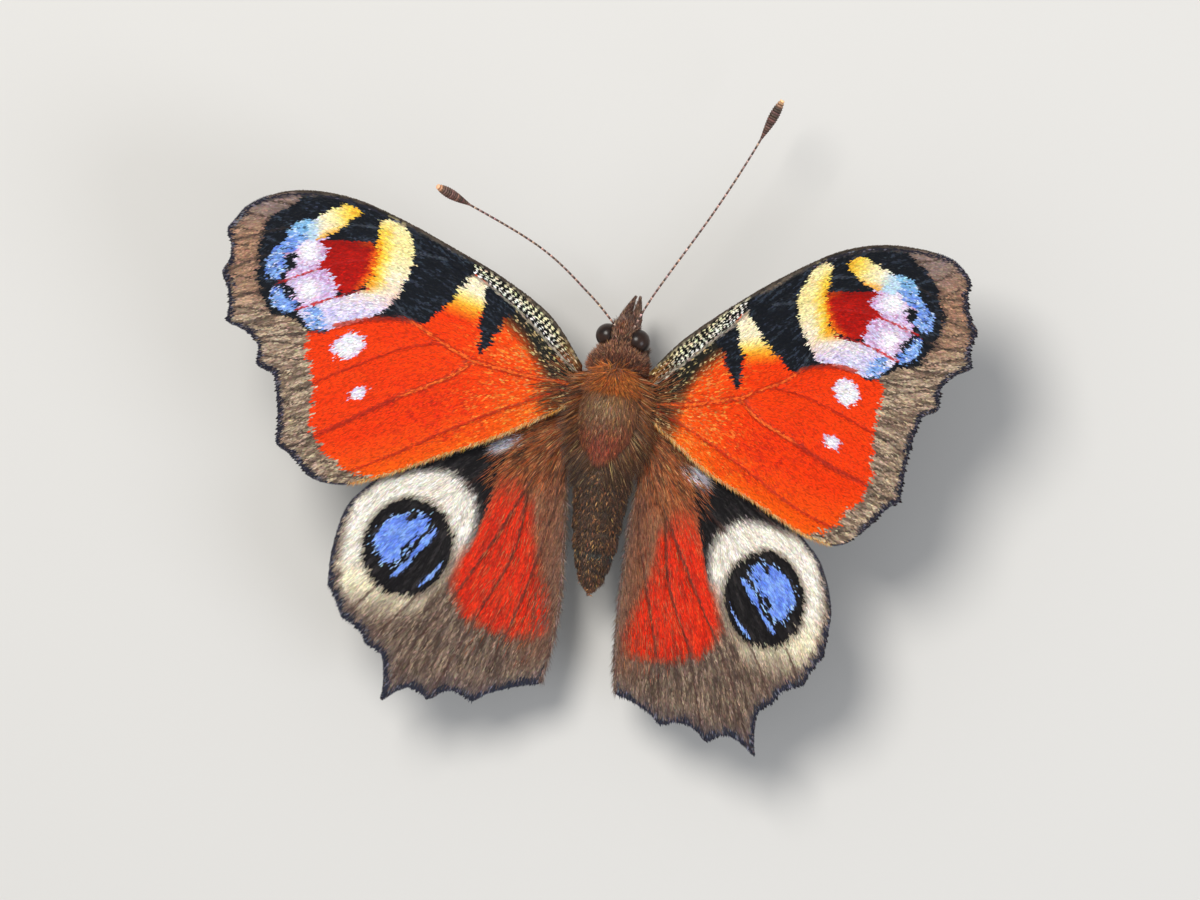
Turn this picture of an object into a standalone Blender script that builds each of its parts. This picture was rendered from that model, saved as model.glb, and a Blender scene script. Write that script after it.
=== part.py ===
# Peacock butterfly, life size, basking on four legs with its wings held open in
# a shallow V. The scene is in metres, with +X to the insect's right, +Y towards
# its head and +Z up. All sizes below are millimetres, measured from the middle
# of the thorax. An empty carries the finished insect, so that its feet stand at
# height zero under the middle of its outline.

import math

import bmesh
import bpy
import numpy as np
from mathutils import Matrix, Vector
from mathutils.geometry import delaunay_2d_cdt

MM = 0.001
GAP = 0.3
STANCE = 6.0            # thorax axis above the ground
BODY_SIDES = 20
LIMB_SIDES = 8
CURVE_STEP = 0.25       # spacing at which a curve is read before it is thinned

# Body lengths run along Y. Every part is an oval loft: rear, front and middle of
# the oval, its half length, half width and half height, and its axis height.
THORAX = {"rear": -4.2, "front": 2.6, "middle": -0.5, "half_length": 5.6,
          "half_width": 2.75, "half_height": 2.85, "axis": 0.0, "steps": 8}
PROTHORAX = {"rear": 2.9, "front": 4.7, "middle": 3.1, "half_length": 2.15,
             "half_width": 2.5, "half_height": 2.35, "axis": -0.1, "steps": 6}
HEAD = {"rear": 5.05, "front": 6.9, "middle": 5.75, "half_length": 1.27,
        "half_width": 1.28, "half_height": 1.4, "axis": -0.25, "steps": 8}
HEAD_TURN = math.radians(3)         # clockwise from above, about the neck
NECK = Vector((0.0, 4.9, 0.0))

ABDOMEN_RINGS = [(-4.5, 2.15), (-6.1, 2.35), (-7.7, 2.12), (-9.3, 1.95),
                 (-10.9, 1.74), (-12.3, 1.38), (-13.4, 0.92), (-14.3, 0.18)]
ABDOMEN_DEPTH = 0.94                # height over width
ABDOMEN_AXIS = -0.2
ABDOMEN_SAG = 0.35                  # how far the tip hangs below the front end
ABDOMEN_BEND = math.radians(1.5)    # towards the right side
RING_STEP = 0.09                    # how far each ring stands over the next
RING_EDGE = 0.25                    # length over which it steps down
ABDOMEN_TIP_WIDTH = 0.42            # half width of the blunt tip

EYE_CENTRE = (1.3, 5.6, 0.1)
EYE_RADIUS = 0.86
EYE_SEAT = 0.8                      # flat inner face of the eye, from the midline
EYE_RINGS = 7
EYE_TOP = 0.35                      # share of a ring's step left flat on top

PALP_PATH = [(0.62, 6.2, -0.95), (0.66, 7.3, -0.8), (0.52, 8.2, -0.55),
             (0.30, 9.0, -0.3)]
PALP_WIDTHS = [0.3, 0.34, 0.26, 0.07]
PALP_DEPTH = 1.35                   # height over width
PALP_LEAN = 0.42                    # how far both tips swing to the right
PALP_STEP = 0.4
PALP_SIDES = 10

COIL_CENTRE = (7.1, -2.75)          # Y and Z
COIL_RADIUS = 0.82
COIL_PITCH = 0.62
COIL_TURNS = 1.3
COIL_START = math.radians(125)
COIL_FEED = (6.35, -1.2)
COIL_TUBE = 0.25
COIL_STEPS = 26

ANTENNAE = {
    "left": [(-0.3, 6.2, 0.5), (-2.6, 8.65, 2.9), (-6.3, 11.7, 7.2), (-13.0, 14.9, 14.8)],
    "right": [(0.7, 6.1, 0.5), (2.1, 9.2, 1.0), (5.8, 16.0, 1.35), (8.3, 21.1, 1.8),
              (10.1, 25.5, 2.1)],
}
SHAFT_RADIUS = 0.25
SHAFT_STEP = 1.3
CLUB_RADIUS = 0.37
CLUB_LENGTH = 3.2
CLUB_STEP = 0.4
CLUB_TIP_RADIUS = 0.16
CLUB_SKEW = 0.62        # below 1 the club is fullest past its middle

# Legs, from the hip to the toe tip, for the right side.
LEG_PATHS = {
    "foreleg": [(0.85, 3.6, -1.6), (1.25, 4.9, -3.15), (1.05, 3.2, -3.95)],
    "midleg": [(1.0, 0.8, -1.8), (4.6, 2.3, -1.6), (7.6, 3.9, -5.0), (8.2, 4.3, -5.82),
               (10.6, 5.6, -5.82)],
    "hindleg": [(1.0, -1.4, -1.8), (4.2, -4.4, -1.7), (5.9, -8.6, -4.9),
                (6.15, -9.4, -5.82), (7.0, -12.3, -5.82)],
}
LEG_RADII = {
    "foreleg": [0.38, 0.3, 0.26],
    "midleg": [0.55, 0.36, 0.29, 0.26, 0.25],
    "hindleg": [0.55, 0.36, 0.29, 0.26, 0.25],
}
KNEE_BLEND = 0.35       # length over which a leg turns at each joint
KNEE_INSET = 0.08       # how far a joint is rounded off
KNEE_SWELL = 1.12

# Wing planes: the hinge, and the rise of the plane above the horizontal.
FOREWING_HINGE = (2.7, 3.4, 0.8)
HINDWING_HINGE = (2.4, 0.4, -0.3)
FOREWING_RISE = math.radians(15)
HINDWING_RISE = math.radians(14)
WING_THICKNESS = 0.5
VEIN_HEIGHT = 0.14
VEIN_HALF_WIDTH = 0.3
VEIN_STEP = 1.5
VEIN_CLEARANCE = 0.35   # from the end of a vein to the margin
MESH_STEP = 2.3         # spacing of the points in the membrane
MESH_CLEARANCE = 0.6    # from these points to the margin
VEIN_BORDER = 0.75      # from these points to the middle of a vein
POINT_CLEARANCE = 0.25  # least distance between two points of the veins
FLANK_CLEARANCE = 0.12  # from the foot of a vein to the margin
EDGE_STEP = 1.1         # spacing of the points round the margin
INNER_STEP = 1.5        # the same along the inner edge
NOTCH_FLATNESS = 0.8    # below 1 the notches between the teeth have flat floors

# Bow of each wing off its plane: the tip rises, and both edges droop.
WING_BOWS = {
    "forewing": {"tip_rise": 0.5, "span": 28.0, "edge_droop": 0.3, "middle": 0.0, "reach": 10.0},
    "hindwing": {"tip_rise": 0.4, "span": 18.0, "edge_droop": 0.3, "middle": -10.0, "reach": 14.0},
}

# Wing outlines, (outward, forward) of the hinge in the wing's own plane. The
# costa runs from the hinge to the apex, the teeth stand on the outer margin
# where veins reach it, and the inner edge runs back to the root.
FOREWINGS = {
    "left": {
        "costa": [(0.0, -0.1), (3.0, 3.2), (7.2, 5.6), (11.1, 7.2), (15.4, 8.8),
                  (19.7, 9.9), (23.9, 9.8), (27.2, 8.3), (28.7, 6.0)],
        "teeth": [(28.6, 2.7), (27.7, -1.0), (24.9, -4.0), (22.5, -9.8), (19.5, -12.0)],
        "inner": [(17.3, -12.3), (14.4, -11.4), (9.7, -9.0), (5.4, -6.8), (1.9, -4.6),
                  (0.1, -3.4)],
    },
    "right": {
        "costa": [(0.0, 0.1), (2.6, 3.0), (6.9, 6.5), (10.5, 9.0), (14.4, 11.2),
                  (18.2, 12.2), (22.1, 12.2), (24.6, 11.6), (26.0, 10.3)],
        "teeth": [(27.3, 6.6), (27.3, 3.7), (25.0, 0.2), (22.8, -7.1), (20.7, -9.1)],
        "inner": [(18.3, -11.1), (15.1, -10.9), (10.0, -8.8), (5.9, -7.2), (2.6, -5.2),
                  (0.3, -3.8)],
    },
}
HINDWINGS = {
    "left": {
        "costa": [(0.9, -0.1), (3.3, -0.9), (7.0, -2.4), (10.6, -4.4), (13.4, -6.5),
                  (15.3, -8.6), (17.0, -10.9), (17.6, -14.3), (17.5, -16.9)],
        "teeth": [(16.1, -19.3), (13.9, -21.0), (12.1, -25.3), (8.4, -24.6),
                  (5.1, -24.3), (0.0, -22.1)],
        "inner": [(-0.5, -19.6), (-0.7, -15.5), (-0.3, -10.9), (-0.1, -8.5),
                  (0.0, -6.2), (0.2, -4.3)],
    },
    "right": {
        "costa": [(1.2, -0.4), (3.8, -1.5), (7.3, -3.0), (10.6, -4.9), (13.4, -6.6),
                  (15.5, -8.2), (17.2, -9.9), (18.5, -13.1), (18.4, -16.6)],
        "teeth": [(17.0, -19.1), (14.6, -20.8), (13.7, -25.2), (9.3, -24.6),
                  (5.2, -23.9), (1.0, -22.0)],
        "inner": [(0.5, -19.9), (0.2, -16.4), (0.1, -13.3), (0.1, -10.6), (0.0, -7.1),
                  (-0.1, -4.4)],
    },
}
# How deep the margin is cut between one tooth and the next, and how far along.
FOREWING_NOTCHES = [(0.5, 0.5), (0.35, 0.5), (0.95, 0.6), (1.05, 0.22), (0.12, 0.5)]
HINDWING_NOTCHES = [(0.1, 0.5), (0.35, 0.6), (0.9, 0.25), (0.92, 0.6), (0.7, 0.5),
                    (0.26, 0.4)]
WING_ROOTS = {"forewing": [(-1.2, -3.0), (-1.2, -0.9)],
              "hindwing": [(-1.0, -4.3), (-1.0, -0.6)]}

# Main veins on the left wings; the right wings carry the same ones, drawn
# through the change of outline.
FOREWING_VEINS = [
    [(0.6, -1.1), (3.8, 1.8), (6.6, 3.6), (9.8, 5.2), (14.1, 7.0), (20.0, 8.3), (26.0, 7.6)],
    [(0.9, -1.9), (4.6, -1.7), (8.4, -1.2), (11.0, -0.2), (14.4, 1.1), (17.5, 0.5),
     (21.2, -0.9), (26.3, -2.2)],
    [(8.4, -1.2), (10.0, -2.7), (13.6, -4.8), (17.5, -7.4), (21.9, -10.2)],
    [(11.0, -0.2), (14.1, -1.2), (18.1, -3.4), (21.3, -5.4), (22.8, -6.6)],
    [(1.2, -2.4), (5.8, -4.7), (10.1, -7.2), (12.9, -9.0), (17.3, -11.5)],
    [(14.4, 1.1), (16.4, 3.3), (19.7, 4.8), (23.8, 2.9), (27.6, 0.9)],
    [(16.4, 3.3), (20.2, 1.9), (25.0, -0.2), (27.0, -0.9)],
    [(14.1, 7.0), (17.6, 6.3), (22.0, 5.0), (28.0, 2.8)],
]
HINDWING_VEINS = [
    [(1.0, -1.2), (5.0, -3.1), (9.5, -5.2), (13.4, -8.0), (16.6, -12.0)],
    [(1.0, -2.0), (4.2, -4.4), (7.6, -7.4), (11.0, -10.0), (14.6, -13.6), (17.0, -16.4)],
    [(7.6, -7.4), (9.6, -11.6), (13.0, -15.6), (15.6, -18.9)],
    [(7.6, -7.4), (8.2, -11.0), (10.4, -16.5), (13.5, -20.6)],
    [(1.0, -3.0), (3.2, -7.0), (5.4, -12.0), (8.0, -17.0), (10.4, -21.0), (11.9, -24.6)],
    [(3.2, -7.0), (3.6, -12.4), (5.6, -17.5), (8.2, -23.9)],
    [(0.6, -3.6), (1.2, -9.5), (2.6, -16.5), (4.7, -23.4)],
]


def linear(red, green, blue):
    """Linear colour from 0 to 255 display values."""
    values = [channel / 255 for channel in (red, green, blue)]
    linear_values = [v / 12.92 if v <= 0.04045 else ((v + 0.055) / 1.055) ** 2.4 for v in values]
    return (*linear_values, 1.0)


def material(name, colour, roughness):
    """A plain finish for one sub-part."""
    finish = bpy.data.materials.new(name)
    finish.use_nodes = True
    shader = finish.node_tree.nodes["Principled BSDF"]
    shader.inputs["Base Color"].default_value = linear(*colour)
    shader.inputs["Roughness"].default_value = roughness
    shader.inputs["Metallic"].default_value = 0.0
    return finish


FINISHES = {
    "head": ((120, 82, 60), 0.85),
    "eye": ((52, 34, 28), 0.2),
    "palp": ((112, 82, 70), 0.85),
    "proboscis": ((70, 45, 35), 0.4),
    "antenna": ((105, 80, 72), 0.6),
    "prothorax": ((165, 98, 48), 0.9),
    "thorax": ((128, 88, 60), 0.9),
    "abdomen": ((84, 64, 50), 0.85),
    "forewing": ((238, 88, 24), 0.7),
    "hindwing": ((205, 70, 40), 0.7),
    "foreleg": ((70, 52, 42), 0.8),
    "midleg": ((92, 70, 52), 0.6),
    "hindleg": ((92, 70, 52), 0.6),
}


def clear_scene():
    """Empty the open file of objects."""
    for old in list(bpy.data.objects):
        bpy.data.objects.remove(old, do_unlink=True)


def add_object(name, shape):
    """Put a bmesh, in millimetres, into the scene as a named object in metres."""
    bmesh.ops.recalc_face_normals(shape, faces=shape.faces)
    bmesh.ops.scale(shape, vec=(MM, MM, MM), verts=shape.verts)
    mesh = bpy.data.meshes.new(name)
    shape.to_mesh(mesh)
    shape.free()
    piece = bpy.data.objects.new(name, mesh)
    bpy.context.scene.collection.objects.link(piece)
    return piece


def finish_piece(piece, kind):
    """Shade a piece smooth and give it its material."""
    piece.data.shade_smooth()
    piece.data.set_sharp_from_angle(angle=math.radians(40))
    colour, roughness = FINISHES[kind]
    piece.data.materials.clear()
    piece.data.materials.append(material(piece.name + "_finish", colour, roughness))


def loft(rings):
    """Closed skin over a row of rings with as many points each."""
    shape = bmesh.new()
    rows = [[shape.verts.new(point) for point in ring] for ring in rings]
    count = len(rows[0])
    for row, following in zip(rows, rows[1:]):
        for i in range(count):
            j = (i + 1) % count
            shape.faces.new((row[i], row[j], following[j], following[i]))
    shape.faces.new(list(reversed(rows[0])))
    shape.faces.new(rows[-1])
    return shape


def smooth_curve(points, step=CURVE_STEP):
    """Points along the Catmull-Rom curve through the given ones."""
    knots = np.array(points, dtype=float)
    padded = np.vstack([2 * knots[0] - knots[1], knots, 2 * knots[-1] - knots[-2]])
    curve = []
    for before, start, end, after in zip(padded, padded[1:], padded[2:], padded[3:]):
        count = max(1, math.ceil(np.linalg.norm(end - start) / step))
        for t in np.arange(count) / count:
            bend = 2 * before - 5 * start + 4 * end - after
            twist = 3 * start - before - 3 * end + after
            curve.append(start + 0.5 * t * ((end - before) + t * (bend + t * twist)))
    curve.append(knots[-1])
    return np.array(curve)


def spaced(curve, step):
    """The same curve read at even spacing, both ends kept."""
    lengths = np.linalg.norm(np.diff(curve, axis=0), axis=1)
    along = np.concatenate([[0.0], np.cumsum(lengths)])
    count = max(1, round(along[-1] / step))
    places = np.linspace(0.0, along[-1], count + 1)
    return np.array([np.interp(places, along, axis) for axis in curve.T]).T


def oval_rings(part, grow=0.0):
    """Rings of a body part; grow widens it all round for use as a cutter."""
    rings = []
    rear = part["rear"] - grow
    front = part["front"] + grow
    reach = part["half_length"] + grow
    for i in range(part["steps"] + 1):
        share = 0.5 - 0.5 * math.cos(math.pi * i / part["steps"])
        y = rear + (front - rear) * share
        bulge = math.sqrt(max(0.0, 1 - ((y - part["middle"]) / reach) ** 2))
        width = (part["half_width"] + grow) * bulge
        height = (part["half_height"] + grow) * bulge
        rings.append(oval_ring(0.0, y, part["axis"], width, height))
    return rings


def oval_ring(x, y, z, half_width, half_height):
    """One upright oval of the body."""
    angles = [2 * math.pi * i / BODY_SIDES for i in range(BODY_SIDES)]
    return [Vector((x + half_width * math.cos(a), y, z + half_height * math.sin(a)))
            for a in angles]


def abdomen_rings(grow=0.0):
    """Ringed, tapering abdomen, each ring's hind edge standing a little proud."""
    front = ABDOMEN_RINGS[0][0]
    tip = ABDOMEN_RINGS[-1][0]
    length = front - tip
    places = [ABDOMEN_RINGS[0]]
    for y, width in ABDOMEN_RINGS[1:-1]:
        places.append((y + RING_EDGE, width + 0.5 * RING_STEP))
        places.append((y, width - RING_STEP))
    places.append((tip + RING_EDGE, ABDOMEN_TIP_WIDTH))
    places.append(ABDOMEN_RINGS[-1])
    rings = []
    for i, (y, width) in enumerate(places):
        end = grow if i == 0 else -grow if i == len(places) - 1 else 0.0
        share = (front - y) / length
        x = math.tan(ABDOMEN_BEND) * (front - y)
        z = ABDOMEN_AXIS - ABDOMEN_SAG * share * share
        depth = width * ABDOMEN_DEPTH + grow
        rings.append(oval_ring(x, y + end, z, width + grow, depth))
    return rings


def tube_rings(path, radii, sides=LIMB_SIDES, depth=1.0):
    """Rings across a path, turned as little as possible from one to the next."""
    points = [Vector(point) for point in path]
    up = Vector((0, 0, 1))
    rings = []
    for i, point in enumerate(points):
        ahead = points[min(i + 1, len(points) - 1)] - points[max(i - 1, 0)]
        along = ahead.normalized()
        if abs(along.dot(up)) > 0.999:
            up = Vector((0, 1, 0))
        side = along.cross(up).normalized()
        rise = side.cross(along).normalized()
        up = rise
        angles = [2 * math.pi * k / sides for k in range(sides)]
        across = side * float(radii[i])
        over = rise * float(radii[i]) * depth
        rings.append([point + across * math.cos(a) + over * math.sin(a) for a in angles])
    return rings


def largest_body(piece):
    """Keep only the largest closed surface of a cut piece."""
    shape = bmesh.new()
    shape.from_mesh(piece.data)
    unseen = set(shape.verts)
    bodies = []
    while unseen:
        edge_of_search = [unseen.pop()]
        body = list(edge_of_search)
        while edge_of_search:
            here = edge_of_search.pop()
            for edge in here.link_edges:
                other = edge.other_vert(here)
                if other in unseen:
                    unseen.remove(other)
                    edge_of_search.append(other)
                    body.append(other)
        bodies.append(body)

    def extent(body):
        low = [min(v.co[axis] for v in body) for axis in range(3)]
        high = [max(v.co[axis] for v in body) for axis in range(3)]
        return math.dist(low, high)

    bodies.sort(key=extent)
    scraps = [vert for body in bodies[:-1] for vert in body]
    bmesh.ops.delete(shape, geom=scraps, context="VERTS")
    shape.to_mesh(piece.data)
    shape.free()


def cut(piece, cutter):
    """Cut one piece by a cutter object and keep the part that matters."""
    difference = piece.modifiers.new("cut", "BOOLEAN")
    difference.operation = "DIFFERENCE"
    difference.solver = "EXACT"
    difference.object = cutter
    graph = bpy.context.evaluated_depsgraph_get()
    result = bpy.data.meshes.new_from_object(piece.evaluated_get(graph))
    piece.modifiers.clear()
    spare = piece.data
    piece.data = result
    bpy.data.meshes.remove(spare)
    largest_body(piece)


def add_cutter(name, rings):
    """A hidden, slightly larger copy of a body part."""
    cutter = add_object(name, loft(rings))
    cutter.hide_render = True
    cutter.display_type = "WIRE"
    return cutter


def turn_head(piece):
    """Turn a piece of the head about the neck, in its mesh."""
    pivot = Matrix.Translation(NECK * MM)
    turn = Matrix.Rotation(-HEAD_TURN, 4, "Z")
    piece.data.transform(pivot @ turn @ pivot.inverted())


def eye_shape(side, radius, seat):
    """Dome of an eye, from its flat seat outward."""
    x, y, z = EYE_CENTRE
    lowest = math.acos((seat - x) / radius)
    rings = []
    for i in range(EYE_RINGS + 1):
        angle = lowest * (1 - i / (EYE_RINGS + EYE_TOP))
        reach = radius * math.sin(angle)
        out = x + radius * math.cos(angle)
        turns = [2 * math.pi * k / BODY_SIDES for k in range(BODY_SIDES)]
        rings.append([Vector((side * out, y + reach * math.cos(a), z + reach * math.sin(a)))
                      for a in turns])
    return loft(rings)


def make_head():
    """Head capsule with a seat for each eye, the eyes, palps and coiled tongue."""
    head = add_object("head", loft(oval_rings(HEAD)))
    grown_head = add_cutter("head_cutter", oval_rings(HEAD, GAP))
    made = [head]
    for side, name in ((-1, "left"), (1, "right")):
        seat = add_object("eye_cutter", eye_shape(side, EYE_RADIUS + GAP, EYE_SEAT - GAP))
        cut(head, seat)
        bpy.data.objects.remove(seat)
        eye = add_object("eye_" + name, eye_shape(side, EYE_RADIUS, EYE_SEAT))
        finish_piece(eye, "eye")
        made.append(eye)
        reach = PALP_PATH[-1][1] - PALP_PATH[0][1]
        knots = [(side * x + PALP_LEAN * ((y - PALP_PATH[0][1]) / reach) ** 2, y, z)
                 for x, y, z in PALP_PATH]
        path = smooth_curve(knots, PALP_STEP)
        share = np.linspace(0, len(PALP_WIDTHS) - 1, len(path))
        widths = np.interp(share, range(len(PALP_WIDTHS)), PALP_WIDTHS)
        rings = tube_rings(path, widths, PALP_SIDES, PALP_DEPTH)
        palp = add_object("palp_" + name, loft(rings))
        cut(palp, grown_head)
        finish_piece(palp, "palp")
        made.append(palp)
    coil = coil_path()
    proboscis = add_object("proboscis", loft(tube_rings(coil, [COIL_TUBE] * len(coil))))
    cut(proboscis, grown_head)
    finish_piece(head, "head")
    finish_piece(proboscis, "proboscis")
    made.append(proboscis)
    for piece in made:
        turn_head(piece)
    turn_head(grown_head)
    return grown_head


def coil_path():
    """Tongue: down from the mouth, then rolled up forwards and under."""
    centre_y, centre_z = COIL_CENTRE
    path = [(0.0, *COIL_FEED)]
    for i in range(COIL_STEPS + 1):
        turned = 2 * math.pi * COIL_TURNS * i / COIL_STEPS
        radius = COIL_RADIUS - COIL_PITCH * turned / (2 * math.pi)
        angle = COIL_START - turned
        path.append((0.0, centre_y + radius * math.cos(angle),
                     centre_z + radius * math.sin(angle)))
    return path


def make_antennae(grown_head):
    """Thin shafts that end in a club."""
    for side, knots in ANTENNAE.items():
        shaft = spaced(smooth_curve(knots), SHAFT_STEP)
        club = spaced(smooth_curve(knots), CLUB_STEP)
        lengths = np.linalg.norm(np.diff(club, axis=0), axis=1)
        to_tip = np.concatenate([np.cumsum(lengths[::-1])[::-1], [0.0]])
        club = club[to_tip <= CLUB_LENGTH]
        to_tip = to_tip[to_tip <= CLUB_LENGTH]
        shaft = shaft[np.linalg.norm(shaft - club[-1], axis=1) > CLUB_LENGTH + CLUB_STEP]
        swell = np.sin(np.pi * (to_tip / CLUB_LENGTH) ** CLUB_SKEW)
        ends = np.where(to_tip > 0.5 * CLUB_LENGTH, SHAFT_RADIUS, CLUB_TIP_RADIUS)
        widths = ends + (CLUB_RADIUS - ends) * np.clip(swell, 0, 1)
        radii = [SHAFT_RADIUS] * len(shaft) + list(widths)
        antenna = add_object("antenna_" + side, loft(tube_rings([*shaft, *club], radii)))
        cut(antenna, grown_head)
        finish_piece(antenna, "antenna")


def make_trunk():
    """Prothorax, thorax and abdomen, end to end with a thin gap between."""
    for name, rings in (("prothorax", oval_rings(PROTHORAX)), ("thorax", oval_rings(THORAX)),
                        ("abdomen", abdomen_rings())):
        part = add_object(name, loft(rings))
        finish_piece(part, name)


def leg_path(knots, radii):
    """Leg joints eased over a short length, with a radius for every point."""
    path = [Vector(knots[0])]
    widths = [radii[0]]
    for i in range(1, len(knots) - 1):
        joint = Vector(knots[i])
        before = (Vector(knots[i - 1]) - joint).normalized()
        after = (Vector(knots[i + 1]) - joint).normalized()
        path += [joint + before * KNEE_BLEND, joint + (before + after) * KNEE_INSET,
                 joint + after * KNEE_BLEND]
        widths += [radii[i], radii[i] * KNEE_SWELL, radii[i]]
    path.append(Vector(knots[-1]))
    widths.append(radii[-1])
    return path, widths


def make_legs(cutters):
    """Folded brush legs in front, and four walking legs that stand on small flats."""
    for kind, knots in LEG_PATHS.items():
        for side, name in ((-1, "left"), (1, "right")):
            mirrored = [(side * x, y, z) for x, y, z in knots]
            path, radii = leg_path(mirrored, LEG_RADII[kind])
            rings = tube_rings(path, radii)
            for ring in rings:
                for point in ring:
                    point.z = max(point.z, -STANCE)
            leg = add_object(kind + "_" + name, loft(rings))
            for cutter in cutters:
                cut(leg, cutter)
            finish_piece(leg, kind)


def margin(teeth, notches):
    """Outer margin of a wing: an arc is cut in between each tooth and the next."""
    points = []
    for start, end, (depth, skew) in zip(teeth, teeth[1:], notches):
        start = np.array(start)
        chord = np.array(end) - start
        length = np.linalg.norm(chord)
        inward = np.array([chord[1], -chord[0]]) / length
        count = max(3, round(length / EDGE_STEP))
        power = math.log(0.5) / math.log(skew)
        for i in range(count):
            share = i / count
            bite = depth * math.sin(math.pi * share ** power) ** NOTCH_FLATNESS
            points.append(start + chord * share + inward * bite)
    return points


def wing_outline(shape, notches, root):
    """Closed outline: leading edge, toothed margin, inner edge and hidden root."""
    costa = spaced(smooth_curve(shape["costa"]), EDGE_STEP)
    teeth = [shape["costa"][-1], *shape["teeth"]]
    inner = spaced(smooth_curve([shape["teeth"][-1], *shape["inner"]]), INNER_STEP)
    return np.vstack([costa[:-1], margin(teeth, notches), inner, root])


def outline_change(shape, onto):
    """Smooth map that carries one wing's outline onto another's."""
    def terms(points):
        u, v = np.asarray(points, dtype=float).T
        return np.column_stack([np.ones_like(u), u, v, u * u, u * v, v * v])

    source = shape["costa"] + shape["teeth"] + shape["inner"]
    target = onto["costa"] + onto["teeth"] + onto["inner"]
    factors = np.linalg.lstsq(terms(source), np.array(target), rcond=None)[0]
    return lambda points: terms(points) @ factors


def inside(points, outline, clearance=0.0):
    """Which points lie inside an outline and that far from its edge."""
    points = np.atleast_2d(points)
    starts = outline
    ends = np.roll(outline, -1, axis=0)
    x, y = points[:, :1], points[:, 1:]
    spans = (starts[:, 1] > y) != (ends[:, 1] > y)
    rise = np.where(ends[:, 1] == starts[:, 1], 1e-9, ends[:, 1] - starts[:, 1])
    crossing = (ends[:, 0] - starts[:, 0]) * (y - starts[:, 1]) / rise + starts[:, 0]
    within = np.sum(spans & (x < crossing), axis=1) % 2 == 1
    return within & (distance(points, starts, ends) > clearance)


def distance(points, starts, ends):
    """Distance from each point to the nearest of a set of straight lines."""
    run = ends - starts
    length = np.maximum(np.sum(run * run, axis=1), 1e-12)
    offset = points[:, None, :] - starts[None]
    share = np.clip(np.sum(offset * run, axis=2) / length, 0, 1)
    foot = starts + share[..., None] * run
    return np.min(np.linalg.norm(points[:, None, :] - foot, axis=2), axis=1)


def wing_points(outline, veins):
    """Points and edges that a wing's triangles must keep."""
    points = [tuple(point) for point in outline]
    edges = [(i, (i + 1) % len(points)) for i in range(len(points))]
    middles = [spaced(smooth_curve(vein), VEIN_STEP) for vein in veins]
    middles = [line[inside(line, outline, VEIN_CLEARANCE)] for line in middles]
    taken = list(points)

    def add_line(line):
        last = None
        for point in line:
            if np.min(np.linalg.norm(np.array(taken) - point, axis=1)) < POINT_CLEARANCE:
                last = None
                continue
            points.append(tuple(point))
            taken.append(tuple(point))
            if last is not None:
                edges.append((last, len(points) - 1))
            last = len(points) - 1

    for line in middles:
        add_line(line)
    ridge_starts = np.vstack([line[:-1] for line in middles])
    ridge_ends = np.vstack([line[1:] for line in middles])
    for line in middles:
        along = np.gradient(line, axis=0)
        along = along / np.linalg.norm(along, axis=1)[:, None]
        across = np.column_stack([-along[:, 1], along[:, 0]])
        for side in (-1, 1):
            flank = line + side * VEIN_HALF_WIDTH * across
            flank = flank[inside(flank, outline, FLANK_CLEARANCE)]
            clear = distance(flank, ridge_starts, ridge_ends) > 0.9 * VEIN_HALF_WIDTH
            add_line(flank[clear])
    low, high = outline.min(axis=0), outline.max(axis=0)
    rows = np.arange(low[1], high[1], MESH_STEP * math.sqrt(3) / 2)
    for k, v in enumerate(rows):
        row = [(u, v) for u in np.arange(low[0] + (k % 2) * MESH_STEP / 2, high[0], MESH_STEP)]
        row = np.array(row)
        row = row[inside(row, outline, MESH_CLEARANCE)]
        if len(row):
            row = row[distance(row, ridge_starts, ridge_ends) > VEIN_BORDER]
        points += [tuple(point) for point in row]
    return points, edges, ridge_starts, ridge_ends


def wing_bow(points, kind):
    """How far the membrane stands off its plane."""
    u, v = points.T
    bow = WING_BOWS[kind]
    rise = bow["tip_rise"] * (u / bow["span"]) ** 2
    return rise - bow["edge_droop"] * ((v - bow["middle"]) / bow["reach"]) ** 2


def wing_shape(outline, veins, kind):
    """Thin wing: the same triangles on both faces, raised along the veins."""
    points, edges, starts, ends = wing_points(outline, veins)
    flat = [Vector(point) for point in points]
    result = delaunay_2d_cdt(flat, edges, [], 1, 0.01)
    corners = np.array([tuple(point) for point in result[0]])
    triangles = [tuple(face) for face in result[2]]
    triangles = [face for face in triangles
                 if inside(corners[list(face)].mean(axis=0), outline)[0]]
    nearness = np.clip(1 - distance(corners, starts, ends) / VEIN_HALF_WIDTH, 0, 1)
    bow = wing_bow(corners, kind)
    half = WING_THICKNESS / 2 + VEIN_HEIGHT * nearness
    used = sorted({i for face in triangles for i in face})
    shape = bmesh.new()
    upper = {i: shape.verts.new((*corners[i], bow[i] + half[i])) for i in used}
    lower = {i: shape.verts.new((*corners[i], bow[i] - half[i])) for i in used}
    rim = {}
    for face in triangles:
        shape.faces.new([upper[i] for i in face])
        shape.faces.new([lower[i] for i in reversed(face)])
        for a, b in zip(face, face[1:] + face[:1]):
            if rim.pop((b, a), None) is None:
                rim[(a, b)] = True
    for a, b in rim:
        shape.faces.new((upper[b], upper[a], lower[a]))
        shape.faces.new((upper[b], lower[a], lower[b]))
    return shape


def place_wing(shape, side, hinge, rise):
    """Stand a flat wing on its hinge, out to one side and rising."""
    x, y, z = hinge
    outward = Vector((side * math.cos(rise), 0, math.sin(rise)))
    forward = Vector((0, 1, 0))
    upward = Vector((-side * math.sin(rise), 0, math.cos(rise)))
    turn = Matrix((outward, forward, upward)).transposed().to_4x4()
    bmesh.ops.transform(shape, matrix=Matrix.Translation((side * x, y, z)) @ turn,
                        verts=shape.verts)


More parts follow.
